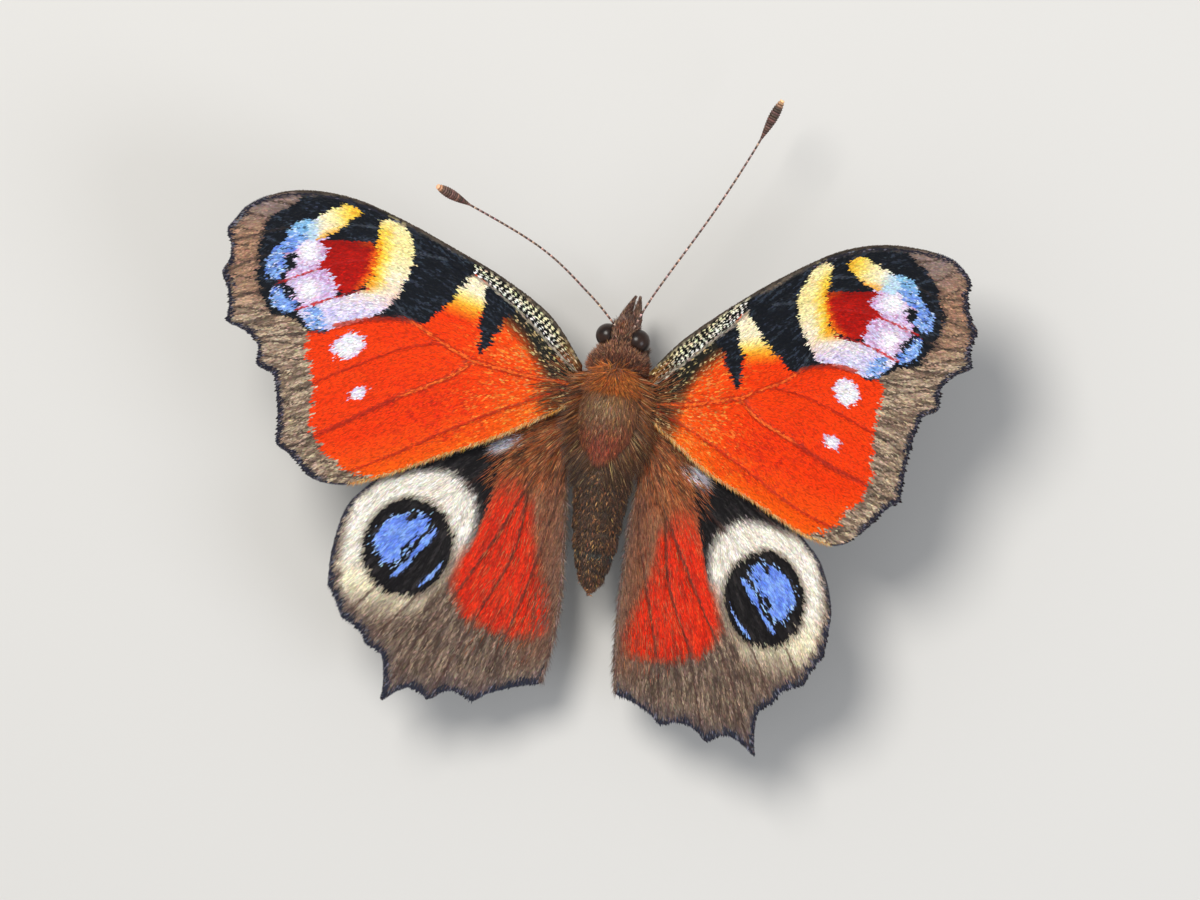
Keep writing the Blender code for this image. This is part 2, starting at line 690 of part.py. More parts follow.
def make_wings(cutters):
    """Four wings, the hind pair passing under the front pair."""
    pairs = (("forewing", FOREWINGS, FOREWING_NOTCHES, FOREWING_VEINS, FOREWING_HINGE,
              FOREWING_RISE),
             ("hindwing", HINDWINGS, HINDWING_NOTCHES, HINDWING_VEINS, HINDWING_HINGE,
              HINDWING_RISE))
    for kind, shapes, notches, veins, hinge, rise in pairs:
        for side, name in ((-1, "left"), (1, "right")):
            outline = wing_outline(shapes[name], notches, WING_ROOTS[kind])
            change = outline_change(shapes["left"], shapes[name])
            own_veins = [change(vein) for vein in veins]
            shape = wing_shape(outline, own_veins, kind)
            place_wing(shape, side, hinge, rise)
            wing = add_object(kind + "_" + name, shape)
            for cutter in cutters:
                cut(wing, cutter)
            finish_piece(wing, kind)


def stand_on_ground():
    """Carry every piece on an empty that centres the insect on its feet."""
    pieces = [piece for piece in bpy.data.objects if piece.type == "MESH"]
    corners = np.array([tuple(vert.co) for piece in pieces for vert in piece.data.vertices])
    low, high = corners.min(axis=0), corners.max(axis=0)
    carrier = bpy.data.objects.new("butterfly", None)
    bpy.context.scene.collection.objects.link(carrier)
    carrier.location = (-(low[0] + high[0]) / 2, -(low[1] + high[1]) / 2, STANCE * MM)
    for piece in pieces:
        piece.parent = carrier


clear_scene()
grown_head = make_head()
make_antennae(grown_head)
make_trunk()
trunk_cutters = [add_cutter("thorax_cutter", oval_rings(THORAX, GAP)),
                 add_cutter("prothorax_cutter", oval_rings(PROTHORAX, GAP)),
                 add_cutter("abdomen_cutter", abdomen_rings(GAP))]
make_legs(trunk_cutters[:2])
make_wings(trunk_cutters)
for cutter in [grown_head, *trunk_cutters]:
    bpy.data.objects.remove(cutter)
stand_on_ground()
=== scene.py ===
import math

import bmesh
import bpy
import numpy as np
from mathutils import Matrix, Vector
from mathutils.bvhtree import BVHTree
from mathutils.geometry import delaunay_2d_cdt


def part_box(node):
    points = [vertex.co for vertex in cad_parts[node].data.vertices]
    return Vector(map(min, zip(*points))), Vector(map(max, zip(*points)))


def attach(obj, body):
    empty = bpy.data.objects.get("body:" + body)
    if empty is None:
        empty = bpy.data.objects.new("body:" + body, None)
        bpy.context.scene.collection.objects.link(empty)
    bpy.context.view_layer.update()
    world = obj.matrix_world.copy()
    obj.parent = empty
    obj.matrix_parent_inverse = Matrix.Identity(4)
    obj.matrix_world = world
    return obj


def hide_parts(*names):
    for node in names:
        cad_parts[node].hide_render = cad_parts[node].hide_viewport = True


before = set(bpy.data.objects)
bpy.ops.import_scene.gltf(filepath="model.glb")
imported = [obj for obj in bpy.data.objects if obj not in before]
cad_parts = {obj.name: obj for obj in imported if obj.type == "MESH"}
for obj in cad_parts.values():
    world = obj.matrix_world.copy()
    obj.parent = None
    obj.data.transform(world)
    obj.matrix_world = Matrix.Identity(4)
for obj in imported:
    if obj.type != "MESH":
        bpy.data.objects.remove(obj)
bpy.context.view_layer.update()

# View, floor and lamps
# The insect is seen from above, leaning a little to its right, through a long lens. It stands
# on a pale matt table, under one broad soft lamp and a weaker one opposite, in a pale room.
MM = 0.001
AHEAD_OF_THORAX = 0.8       # from the middle of the thorax to the point that all sizes start from
VIEW_LEAN = math.radians(11.7)
VIEW_TURN = math.radians(8.5)
VIEW_DISTANCE = 1000.0
VIEW_WIDTH = 92.76
VIEW_OFFSET = (-0.93, -3.09)
FLOOR_SIZE = 6.0
FLOOR_COLOUR = (213, 212, 209)
ROOM_COLOUR = (228, 230, 233)
ROOM_STRENGTH = 0.54
LAMPS = [((-0.10, 0.18, 0.46), 0.24, 1.94, (255, 251, 245)), ((0.34, -0.10, 0.28), 0.22, 0.54, (240, 245, 255))]

thorax_low, thorax_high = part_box("thorax")
ORIGIN = np.array((thorax_low + thorax_high) / 2) + np.array((0.0, AHEAD_OF_THORAX, 0.0)) * MM


def place(points):
    """Millimetres from the middle of the wing bases, as metres in the scene."""
    return np.asarray(points, float) * MM + ORIGIN


def linear(colours):
    """Display colours, 0 to 255, as linear ones, 0 to 1."""
    values = np.clip(np.asarray(colours, float) / 255, 0, 1)
    return np.where(values <= 0.04045, values / 12.92, ((values + 0.055) / 1.055) ** 2.4)


def opaque(colour):
    """One display colour as a socket takes it."""
    return (*linear(colour), 1.0)


def look_along(lean, turn):
    """Camera axes: right, up and back towards the camera."""
    back = Vector((math.sin(lean), 0, math.cos(lean)))
    level = Vector((math.cos(lean), 0, -math.sin(lean)))
    ahead = Vector((0, 1, 0))
    right = level * math.cos(turn) + ahead * math.sin(turn)
    return right, back.cross(right), back


right, up, back = look_along(VIEW_LEAN, VIEW_TURN)
target = Vector(ORIGIN) + (right * VIEW_OFFSET[0] + up * VIEW_OFFSET[1]) * MM
camera_data = bpy.data.cameras.new("view")
camera_data.sensor_width = 36.0
camera_data.lens = camera_data.sensor_width * VIEW_DISTANCE / VIEW_WIDTH
camera = bpy.data.objects.new("view", camera_data)
turn = Matrix((right, up, back)).transposed().to_4x4()
camera.matrix_world = Matrix.Translation(target + back * VIEW_DISTANCE * MM) @ turn
bpy.context.scene.collection.objects.link(camera)
bpy.context.scene.camera = camera
bpy.context.scene.view_settings.view_transform = "Standard"

for i, (spot, width, power, colour) in enumerate(LAMPS):
    lamp_data = bpy.data.lights.new(f"lamp_{i}", "AREA")
    lamp_data.shape = "DISK"
    lamp_data.size = width
    lamp_data.energy = power
    lamp_data.color = linear(colour)
    lamp = bpy.data.objects.new(f"lamp_{i}", lamp_data)
    lamp.location = spot
    lamp.rotation_mode = "QUATERNION"
    lamp.rotation_quaternion = (-Vector(spot)).to_track_quat("-Z", "Y")
    lamp.visible_camera = False
    bpy.context.scene.collection.objects.link(lamp)

world = bpy.data.worlds.new("room")
world.use_nodes = True
world.node_tree.nodes["Background"].inputs["Color"].default_value = opaque(ROOM_COLOUR)
world.node_tree.nodes["Background"].inputs["Strength"].default_value = ROOM_STRENGTH
bpy.context.scene.world = world


def add_node(tree, kind, links=None, **values):
    """A node with its own settings, and its inputs set or linked by name or number."""
    node = tree.nodes.new(kind)
    for name, value in values.items():
        setattr(node, name, value)
    for key, value in (links or {}).items():
        if isinstance(value, bpy.types.NodeSocket):
            tree.links.new(value, node.inputs[key])
        else:
            node.inputs[key].default_value = value
    return node


def new_finish(name):
    """An empty material, its tree and its shader."""
    finish = bpy.data.materials.new(name)
    finish.use_nodes = True
    return finish, finish.node_tree, finish.node_tree.nodes["Principled BSDF"]


def add_piece(name, points, faces):
    """A mesh object from points in scene metres."""
    mesh = bpy.data.meshes.new(name)
    mesh.from_pydata(np.asarray(points).tolist(), [], faces)
    mesh.update()
    piece = bpy.data.objects.new(name, mesh)
    bpy.context.scene.collection.objects.link(piece)
    return piece


half = FLOOR_SIZE / 2
floor = add_piece("floor", [(-half, -half, 0), (half, -half, 0), (half, half, 0), (-half, half, 0)], [(0, 1, 2, 3)])
table_finish, tree, shader = new_finish("matt table")
place_node = add_node(tree, "ShaderNodeTexCoord")
flecks = add_node(tree, "ShaderNodeTexNoise", {"Vector": place_node.outputs["Object"], "Scale": 900.0, "Detail": 4.0})
relief = add_node(tree, "ShaderNodeBump", {"Height": flecks.outputs["Fac"], "Strength": 0.05, "Distance": 0.0001})
tree.links.new(relief.outputs["Normal"], shader.inputs["Normal"])
shader.inputs["Base Color"].default_value = opaque(FLOOR_COLOUR)
shader.inputs["Roughness"].default_value = 0.85
floor.data.materials.append(table_finish)

# Trunk
# Head, collar, thorax and abdomen are one jointed shell of horny skin. The skin below follows
# the four solids from inside, by the depth of the coat, and closes the gaps between them.
TRUNK_NODES = ("head", "prothorax", "thorax", "abdomen")
TRUNK_AXIS = [(-14.4, 0.26, -0.55), (-4.5, 0.0, -0.2), (2.6, 0.0, 0.0), (4.7, 0.0, -0.1), (7.0, 0.11, -0.25)]
STATION_STEP = 0.12
TRUNK_SIDES = 72
TRUNK_EASE = 1.3            # in stations, how far the steps between the solids are smoothed
HEAD_REAR = 5.0
HEAD_ROUNDNESS = 0.9        # width over height, with the seats of the eyes filled
COAT_DEPTH = [(-14.4, 0.06), (-12.0, 0.14), (-5.0, 0.16), (-3.5, 0.3), (4.4, 0.3), (5.4, 0.16), (7.0, 0.1)]
RING_EDGES = (-6.1, -7.7, -9.3, -10.9, -12.3, -13.4)
RING_LIFT = 0.05
NOSE_ROUNDING = 0.5


def merged_copy(nodes):
    """The loose triangles of some solids as one bmesh."""
    shape = bmesh.new()
    for node in nodes:
        shape.from_mesh(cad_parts[node].data)
    bmesh.ops.remove_doubles(shape, verts=shape.verts, dist=1e-6)
    return shape


def trunk_profile():
    """Middle, half width and half height of the trunk at every station."""
    shape = merged_copy(TRUNK_NODES)
    tree = BVHTree.FromBMesh(shape)
    shape.free()
    low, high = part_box("abdomen")[0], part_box("head")[1]
    rear, front = (low.y - ORIGIN[1]) / MM, (high.y - ORIGIN[1]) / MM
    axis_y, axis_x, axis_z = np.array(TRUNK_AXIS).T
    stations = np.arange(rear + 0.02, front - 0.02, STATION_STEP)
    rows = []
    for y in stations:
        x, z = np.interp(y, axis_y, axis_x), np.interp(y, axis_y, axis_z)
        start = Vector(place((x, y, z)))
        hits = [tree.ray_cast(start, Vector(way)) for way in ((1, 0, 0), (-1, 0, 0), (0, 0, 1), (0, 0, -1))]
        if any(hit[0] is None for hit in hits):
            continue
        outer, inner, over, under = (hit[3] / MM for hit in hits)
        half_width, half_height = (outer + inner) / 2, (over + under) / 2
        middle_x = x + (outer - inner) / 2
        if y > HEAD_REAR:
            half_width, middle_x = half_height * HEAD_ROUNDNESS, x
        rows.append((y, middle_x, z + (over - under) / 2, half_width, half_height))
    rows = np.array(rows)
    profile = np.array([np.interp(stations, rows[:, 0], column) for column in rows.T[1:]])
    kernel = np.exp(-0.5 * (np.arange(-4, 5) / TRUNK_EASE) ** 2)
    kernel /= kernel.sum()
    profile = np.array([np.convolve(np.pad(row, 4, mode="edge"), kernel, mode="valid") for row in profile])
    depth = np.interp(stations, *np.array(COAT_DEPTH).T)
    ahead = np.min([np.where(stations >= edge, stations - edge, 99.0) for edge in RING_EDGES], axis=0)
    lift = RING_LIFT * np.exp(-ahead / 0.4) * (stations < RING_EDGES[0] + 1.5)
    nose = np.sqrt(np.clip(1 - np.clip((stations - front + NOSE_ROUNDING) / NOSE_ROUNDING, 0, 1) ** 2, 0.01, 1))
    profile[2:] = np.maximum(profile[2:] - depth + lift, 0.05) * nose
    return stations, profile


STATIONS, PROFILE = trunk_profile()
SHIELD = [(-4.1, 0.0), (-3.85, 0.85), (-3.3, 1.5), (-2.6, 1.98), (-1.8, 2.25), (-1.0, 2.36), (0.5, 2.38), (1.8, 2.25),
          (2.7, 1.8), (3.3, 1.0)]
SHIELD_STEP = 0.24


def shield_depth(y, x):
    """How far a place lies inside the shield that roofs the thorax, seen from above."""
    return np.interp(y, *np.array(SHIELD).T) - np.abs(x)


def trunk_points(y, angle):
    """Points on the trunk's skin, at some lengths and angles round it."""
    middle_x, middle_z, half_width, half_height = (np.interp(y, STATIONS, row) for row in PROFILE)
    x, height = half_width * np.cos(angle), half_height * np.sin(angle)
    furrow = np.clip(0.5 - shield_depth(y, x) / 0.5, 0, 1) * np.clip(np.sin(angle) * 2.5, 0, 1)
    furrow = furrow * np.clip((y + 4.9) / 0.6, 0, 1) * np.clip((3.3 - y) / 0.5, 0, 1)
    return np.stack([middle_x + x, y, middle_z + height - SHIELD_STEP * furrow], axis=-1)


def unit(vectors):
    """The same vectors with a length of one."""
    return vectors / np.maximum(np.linalg.norm(vectors, axis=-1, keepdims=True), 1e-9)


def trunk_normals(y, angle):
    """Outward directions at the same places."""
    small = 0.06
    around = trunk_points(y, angle + small) - trunk_points(y, angle - small)
    along = trunk_points(y + small, angle) - trunk_points(y - small, angle)
    return unit(np.cross(along, around))


def rings_to_faces(rows, sides):
    """Quads over rows of points with as many in each, and a fan at either end."""
    faces = []
    for row in range(rows - 1):
        for k in range(sides):
            nxt = (k + 1) % sides
            first = row * sides
            faces.append((first + k, first + nxt, first + sides + nxt, first + sides + k))
    start, end = rows * sides, rows * sides + 1
    for k in range(sides):
        nxt = (k + 1) % sides
        faces.append((start, nxt, k))
        faces.append((end, (rows - 1) * sides + k, (rows - 1) * sides + nxt))
    return faces


def face_outward(piece):
    """Turn every face of a closed piece outward and shade it smooth."""
    shape = bmesh.new()
    shape.from_mesh(piece.data)
    bmesh.ops.recalc_face_normals(shape, faces=shape.faces)
    shape.to_mesh(piece.data)
    shape.free()
    piece.data.shade_smooth()


def blend_keys(places, keys):
    """Colours read between (place, colour) keys in rising order."""
    spots = [spot for spot, _ in keys]
    colours = np.array([colour for _, colour in keys], float)
    return np.stack([np.interp(places, spots, channel) for channel in colours.T], axis=-1)


def lay(colours, cover, colour):
    """One colour laid over others, where cover is above 0."""
    cover = np.clip(cover, 0, 1)[:, None]
    return colours * (1 - cover) + np.asarray(colour, float) * cover


# Coat colours of the upper trunk from rear to front. The dark key at 3.6, between ruff and collar, is painted shade in
# the crease there.
TRUNK_TOP = [
    (-14.3, (150, 96, 58)), (-13.4, (122, 82, 54)), (-12.0, (104, 74, 52)), (-9.0, (99, 70, 50)), (-5.2, (96, 68, 48)),
    (-4.4, (96, 68, 48)), (-4.1, (184, 98, 56)), (-3.2, (186, 88, 60)), (-2.2, (176, 86, 58)), (-1.2, (162, 100, 70)),
    (0.2, (168, 126, 92)), (1.2, (170, 124, 84)), (2.0, (170, 108, 62)), (2.6, (190, 108, 48)), (3.3, (176, 96, 44)),
    (3.6, (84, 56, 42)), (4.0, (132, 84, 58)), (4.8, (126, 80, 58)), (5.3, (118, 76, 54)), (6.2, (126, 83, 64)),
    (6.9, (110, 77, 64)),
]
TRUNK_BELLY = [
    (-14.3, (140, 90, 55)), (-12.0, (84, 68, 54)), (-4.5, (78, 64, 52)), (-3.0, (112, 92, 74)), (3.0, (118, 96, 76)),
    (4.5, (98, 76, 62)), (6.9, (104, 80, 68)),
]
BAND_COLOUR = (60, 50, 42)
GREEN_BAND = (66, 76, 74)
GREEN_BAND_PLACE = -11.25


def trunk_colours(y, angle):
    """Coat colours of the trunk: ruff, shield with a reddish rear, and banded abdomen."""
    top = blend_keys(y, TRUNK_TOP)
    belly = blend_keys(y, TRUNK_BELLY)
    height = np.sin(angle)
    share = np.clip((height + 0.35) / 0.6, 0, 1)[:, None]
    colours = belly * (1 - share) + top * share
    beside = np.clip(0.4 - shield_depth(y, 2.6 * np.cos(angle)) / 0.6, 0, 1) * (y > -4.6) * (y < 3.2) * (height > -0.2)
    beside_colours = blend_keys(y, [(-4.0, (78, 58, 44)), (-1.5, (90, 62, 42)), (0.5, (132, 80, 44)), (3.0, (170, 94, 44))])
    colours = colours * (1 - beside[:, None]) + beside_colours * beside[:, None]
    rim = np.exp(-((shield_depth(y, 2.6 * np.cos(angle)) - 0.35) / 0.3) ** 2) * (height > 0) * (y > -4.6) * (y < 2.4)
    colours = lay(colours, 0.55 * rim, (146, 86, 50))
    for edge in RING_EDGES[1:]:
        colours = lay(colours, 0.5 * np.exp(-((y - edge + 0.22) / 0.2) ** 2), BAND_COLOUR)
    green = 0.8 * np.exp(-((y - GREEN_BAND_PLACE) / 0.26) ** 2) * (height > 0.1)
    return lay(colours, green, GREEN_BAND)


def set_tint(mesh, colours):
    """Store display colours on the points of a mesh."""
    layer = mesh.attributes.new("tint", "FLOAT_COLOR", "POINT")
    filled = np.ones((len(mesh.vertices), 4), np.float32)
    filled[:, :3] = linear(colours)
    layer.data.foreach_set("color", filled.ravel())


def pigment_group():
    """Shared effect: the painted tint with uneven pigment, and fine ridges along each scale or hair."""
    group = bpy.data.node_groups.new("pigment", "ShaderNodeTree")
    face = group.interface
    for name, default in (("Grain Size", 2500.0), ("Unevenness", 0.25), ("Ridges", 6.0), ("Ridge Height", 0.2),
                          ("Roughness", 0.6)):
        socket = face.new_socket(name=name, in_out="INPUT", socket_type="NodeSocketFloat")
        socket.default_value = default
    face.new_socket(name="Color", in_out="OUTPUT", socket_type="NodeSocketColor")
    face.new_socket(name="Roughness", in_out="OUTPUT", socket_type="NodeSocketFloat")
    face.new_socket(name="Normal", in_out="OUTPUT", socket_type="NodeSocketVector")
    given = add_node(group, "NodeGroupInput")
    spot = add_node(group, "ShaderNodeTexCoord")
    tint = add_node(group, "ShaderNodeAttribute", attribute_name="tint")
    noise = add_node(group, "ShaderNodeTexNoise", {"Vector": spot.outputs["Object"], "Detail": 3.0,
                                                  "Scale": given.outputs["Grain Size"]})
    centred = add_node(group, "ShaderNodeMath", {0: noise.outputs["Fac"], 1: 0.5}, operation="SUBTRACT")
    amount = add_node(group, "ShaderNodeMath", {0: centred.outputs[0], 1: given.outputs["Unevenness"]},
                      operation="MULTIPLY")
    gain = add_node(group, "ShaderNodeMath", {0: amount.outputs[0], 1: 1.0}, operation="ADD")
    shaded = add_node(group, "ShaderNodeVectorMath", {0: tint.outputs["Color"], "Scale": gain.outputs[0]},
                      operation="SCALE")
    local = add_node(group, "ShaderNodeAttribute", attribute_name="spot")
    across = add_node(group, "ShaderNodeSeparateXYZ", {0: local.outputs["Vector"]})
    phase = add_node(group, "ShaderNodeMath", {0: across.outputs["Y"], 1: given.outputs["Ridges"]},
                     operation="MULTIPLY")
    full_turn = add_node(group, "ShaderNodeMath", {0: phase.outputs[0], 1: 2 * math.pi}, operation="MULTIPLY")
    wave = add_node(group, "ShaderNodeMath", {0: full_turn.outputs[0]}, operation="SINE")
    height = add_node(group, "ShaderNodeMath", {0: wave.outputs[0], 1: given.outputs["Ridge Height"]},
                      operation="MULTIPLY")
    bump = add_node(group, "ShaderNodeBump", {"Height": height.outputs[0], "Strength": 0.5, "Distance": 0.000005})
    dull = add_node(group, "ShaderNodeMath", {0: amount.outputs[0], 1: given.outputs["Roughness"]}, operation="ADD")
    add_node(group, "NodeGroupOutput", {"Color": shaded.outputs[0], "Roughness": dull.outputs[0],
                                        "Normal": bump.outputs["Normal"]})
    return group


PIGMENT = pigment_group()


def painted_finish(name, roughness, sheen=0.0, unevenness=0.25, ridges=6.0, ridge_height=0.2, grain=2500.0, gloss=0.25):
    """A painted finish for skin, scales or hair, from the shared pigment effect."""
    finish, tree, shader = new_finish(name)
    effect = add_node(tree, "ShaderNodeGroup", node_tree=PIGMENT)
    for label, value in (("Grain Size", grain), ("Unevenness", unevenness), ("Ridges", ridges),
                         ("Ridge Height", ridge_height), ("Roughness", roughness)):
        effect.inputs[label].default_value = value
    tree.links.new(effect.outputs["Color"], shader.inputs["Base Color"])
    tree.links.new(effect.outputs["Roughness"], shader.inputs["Roughness"])
    tree.links.new(effect.outputs["Normal"], shader.inputs["Normal"])
    shader.inputs["Specular IOR Level"].default_value = gloss
    shader.inputs["Sheen Weight"].default_value = sheen
    return finish


def trunk_unwrap(y, angle):
    """Where a place on the trunk lies on its flat pattern."""
    along = (y - STATIONS[0]) / (STATIONS[-1] - STATIONS[0])
    around = np.mod(angle + math.pi / 2, 2 * math.pi) / (2 * math.pi)
    return np.stack([0.02 + 0.96 * along, 0.02 + 0.96 * around], axis=-1)


angles = np.arange(TRUNK_SIDES) * 2 * math.pi / TRUNK_SIDES
grid_y, grid_angle = np.meshgrid(STATIONS, angles, indexing="ij")
grid_y, grid_angle = grid_y.ravel(), grid_angle.ravel()
ends_y = np.array([STATIONS[0] - 0.03, STATIONS[-1] + 0.02])
end_points = [(PROFILE[0][i], y, PROFILE[1][i]) for i, y in zip((0, -1), ends_y)]
skin_points = np.vstack([trunk_points(grid_y, grid_angle), end_points])
skin = add_piece("trunk_skin", place(skin_points), rings_to_faces(len(STATIONS), TRUNK_SIDES))
face_outward(skin)
skin_colours = trunk_colours(np.append(grid_y, ends_y), np.append(grid_angle, [math.pi / 2] * 2)) * 0.7
set_tint(skin.data, skin_colours)
skin.data.materials.append(painted_finish("horny skin", 0.5, unevenness=0.4))
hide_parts(*TRUNK_NODES)
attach(skin, "root")

# Coat of the trunk
# The trunk wears fine hair-like scales: a short dark pile on the abdomen, long lying hair on
# the thorax, a bristling orange ruff behind the collar. Each tuft is rooted in the skin.


def coat_tree():
    """Tree that sets one tuft on each root, along its lie, and lays its patch on the flat pattern."""
    group = bpy.data.node_groups.new("coat", "GeometryNodeTree")
    face = group.interface
    face.new_socket(name="Roots", in_out="INPUT", socket_type="NodeSocketGeometry")
    face.new_socket(name="Tuft", in_out="INPUT", socket_type="NodeSocketObject")
    face.new_socket(name="Finish", in_out="INPUT", socket_type="NodeSocketMaterial")
    face.new_socket(name="Patch", in_out="INPUT", socket_type="NodeSocketFloat")
    face.new_socket(name="Coat", in_out="OUTPUT", socket_type="NodeSocketGeometry")
    given = add_node(group, "NodeGroupInput")

    def field(name, kind="FLOAT_VECTOR"):
        return add_node(group, "GeometryNodeInputNamedAttribute", {"Name": name}, data_type=kind).outputs["Attribute"]

    tuft = add_node(group, "GeometryNodeObjectInfo", {"Object": given.outputs["Tuft"]})
    along = add_node(group, "FunctionNodeAlignRotationToVector", {"Vector": field("lie")}, axis="X")
    facing = add_node(group, "FunctionNodeAlignRotationToVector",
                      {"Rotation": along.outputs["Rotation"], "Vector": field("face")}, axis="Z", pivot_axis="X")
    placed = add_node(group, "GeometryNodeInstanceOnPoints",
                      {"Points": given.outputs["Roots"], "Instance": tuft.outputs["Geometry"],
                       "Rotation": facing.outputs["Rotation"], "Scale": field("size")})
    real = add_node(group, "GeometryNodeRealizeInstances", {"Geometry": placed.outputs["Instances"]})
    patch = add_node(group, "ShaderNodeVectorMath", {0: field("spot"), "Scale": given.outputs["Patch"]},
                     operation="SCALE")
    pattern = add_node(group, "ShaderNodeVectorMath", {0: field("unwrap"), 1: patch.outputs[0]}, operation="ADD")
    stored = add_node(group, "GeometryNodeStoreNamedAttribute",
                      {"Geometry": real.outputs["Geometry"], "Name": "OFBake", "Value": pattern.outputs[0]},
                      data_type="FLOAT2", domain="CORNER")
    finished = add_node(group, "GeometryNodeSetMaterial",
                        {"Geometry": stored.outputs["Geometry"], "Material": given.outputs["Finish"]})
    add_node(group, "NodeGroupOutput", {"Coat": finished.outputs["Geometry"]})
    return group


COAT = coat_tree()
PATCH_SIZE = 0.003


def run_tree(piece, group, inputs):
    """Give a piece a tree, read the result as a plain mesh and take the modifier off again."""
    modifier = piece.modifiers.new("made", "NODES")
    modifier.node_group = group
    for name, value in inputs.items():
        modifier[group.interface.items_tree[name].identifier] = value
    graph = bpy.context.evaluated_depsgraph_get()
    made = bpy.data.meshes.new_from_object(piece.evaluated_get(graph))
    piece.modifiers.clear()
    spare = piece.data
    piece.data = made
    bpy.data.meshes.remove(spare)


def grow_coat(name, roots, tuft, finish, smooth=True):
    """One coat piece: a tuft on every root. Roots hold places, directions, sizes and colours."""
    count = len(roots["at"])
    piece = add_piece(name, place(roots["at"]), [])
    fields = {"lie": roots["lie"], "face": roots["face"], "size": roots["size"] * MM,
              "unwrap": np.column_stack([roots["unwrap"], np.zeros(count)])}
    for label, values in fields.items():
        layer = piece.data.attributes.new(label, "FLOAT_VECTOR", "POINT")
        layer.data.foreach_set("vector", np.ascontiguousarray(values, np.float32).ravel())
    set_tint(piece.data, roots["tint"])
    run_tree(piece, COAT, {"Tuft": tuft, "Finish": finish, "Patch": PATCH_SIZE})
    for label in ("lie", "face", "size", "unwrap"):
        layer = piece.data.attributes.get(label)
        if layer is not None:
            piece.data.attributes.remove(layer)
    if not smooth:
        piece.data.shade_flat()
    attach(piece, "root")
    return piece


def join_roots(*groups):
    """Several sets of roots as one."""
    return {key: np.concatenate([group[key] for group in groups]) for key in groups[0]}


def tuft_template(name, rows, sides, bend, flatness=1.0):
    """A tapering hair, one unit long and wide: rows of (length, width), then a point."""
    points = []
    for length, width in rows:
        for k in range(sides):
            angle = 2 * math.pi * (k + 0.5) / sides
            points.append((length, 0.5 * width * math.cos(angle),
                           0.5 * width * flatness * math.sin(angle) + bend * length ** 2))
    count = len(points)
    points.append((1.0, 0.0, bend))
    faces = [tuple(range(sides))]
    for row in range(len(rows) - 1):
        for k in range(sides):
            nxt = (k + 1) % sides
            faces.append((row * sides + k, row * sides + nxt, (row + 1) * sides + nxt, (row + 1) * sides + k))
    faces += [(count - sides + k, count - sides + (k + 1) % sides, count) for k in range(sides)]
    return finish_template(name, points, faces)


def finish_template(name, points, faces):
    """Turn a small pattern piece outward and store where its points lie on its patch."""
    piece = add_piece(name, points, faces)
    face_outward(piece)
    layer = piece.data.attributes.new("spot", "FLOAT_VECTOR", "POINT")
    spots = np.array([(x - 0.5, y, 0.0) for x, y, _ in points], np.float32)
    layer.data.foreach_set("vector", spots.ravel())
    return piece


HAIR = tuft_template("hair_pattern", [(0.0, 1.0), (0.5, 0.8)], 3, -0.12)
FUR_FINISH = painted_finish("fur", 0.62, sheen=0.15, unevenness=0.35, ridges=2.0, ridge_height=0.1)

SHIELD_HAIRS = 5600
RUFF_HAIRS = 2600
SIDE_HAIRS = 4600
BELLY_HAIRS = 2600
COLLAR_HAIRS = 4400
HEAD_HAIRS = 2600
ABDOMEN_HAIRS = 10000


def trunk_roots(count, rear, front, seed, chosen=None):
    """Roots scattered evenly over the skin between two lengths, where a test allows them."""
    rng = np.random.default_rng(seed)
    spots = np.linspace(rear, front, 200)
    girth = np.interp(spots, STATIONS, PROFILE[2] + PROFILE[3])
    chance = np.cumsum(girth) / girth.sum()
    y = np.interp(rng.random(6 * count), chance, spots)
    angle = rng.random(6 * count) * 2 * math.pi
    if chosen is not None:
        kept = chosen(y, angle)
        y, angle = y[kept], angle[kept]
    return y[:count], angle[:count], rng


def trunk_tufts(y, angle, rng, lie, lift, length, width, colours, spread=0.25, flat=True):
    """Roots on the trunk, with each tuft laid along a direction and lifted off the skin."""
    at, face = trunk_points(y, angle), trunk_normals(y, angle)
    lie = lie + rng.normal(0, spread, lie.shape)
    if flat:
        lie = unit(lie - np.sum(lie * face, axis=1, keepdims=True) * face)
    lie = unit(unit(lie) + face * np.tan(lift)[:, None])
    scatter = rng.normal(0, 0.2, face.shape)
    size = np.column_stack([length, width, width])
    return {"at": at - face * 0.05, "lie": lie, "face": unit(face + scatter), "size": size, "tint": colours,
            "unwrap": trunk_unwrap(y, angle)}


def vary(colours, rng, light=0.16, hue=0.05):
    """The same colours, each a little lighter, darker, warmer or cooler."""
    gain = 1 + rng.normal(0, light, (len(colours), 1))
    drift = 1 + rng.normal(0, hue, (len(colours), 3))
    return np.clip(colours * gain * drift, 4, 255)


def fleck(colours, rng, share, colour):
    """Some tufts take another colour."""
    chosen = (rng.random(len(colours)) < share).astype(float)
    return lay(colours, 0.75 * chosen, colour)


def on_shield(y, angle):
    """The roof of the thorax."""
    return (shield_depth(y, 2.6 * np.cos(angle)) > -0.05) & (np.sin(angle) > 0)


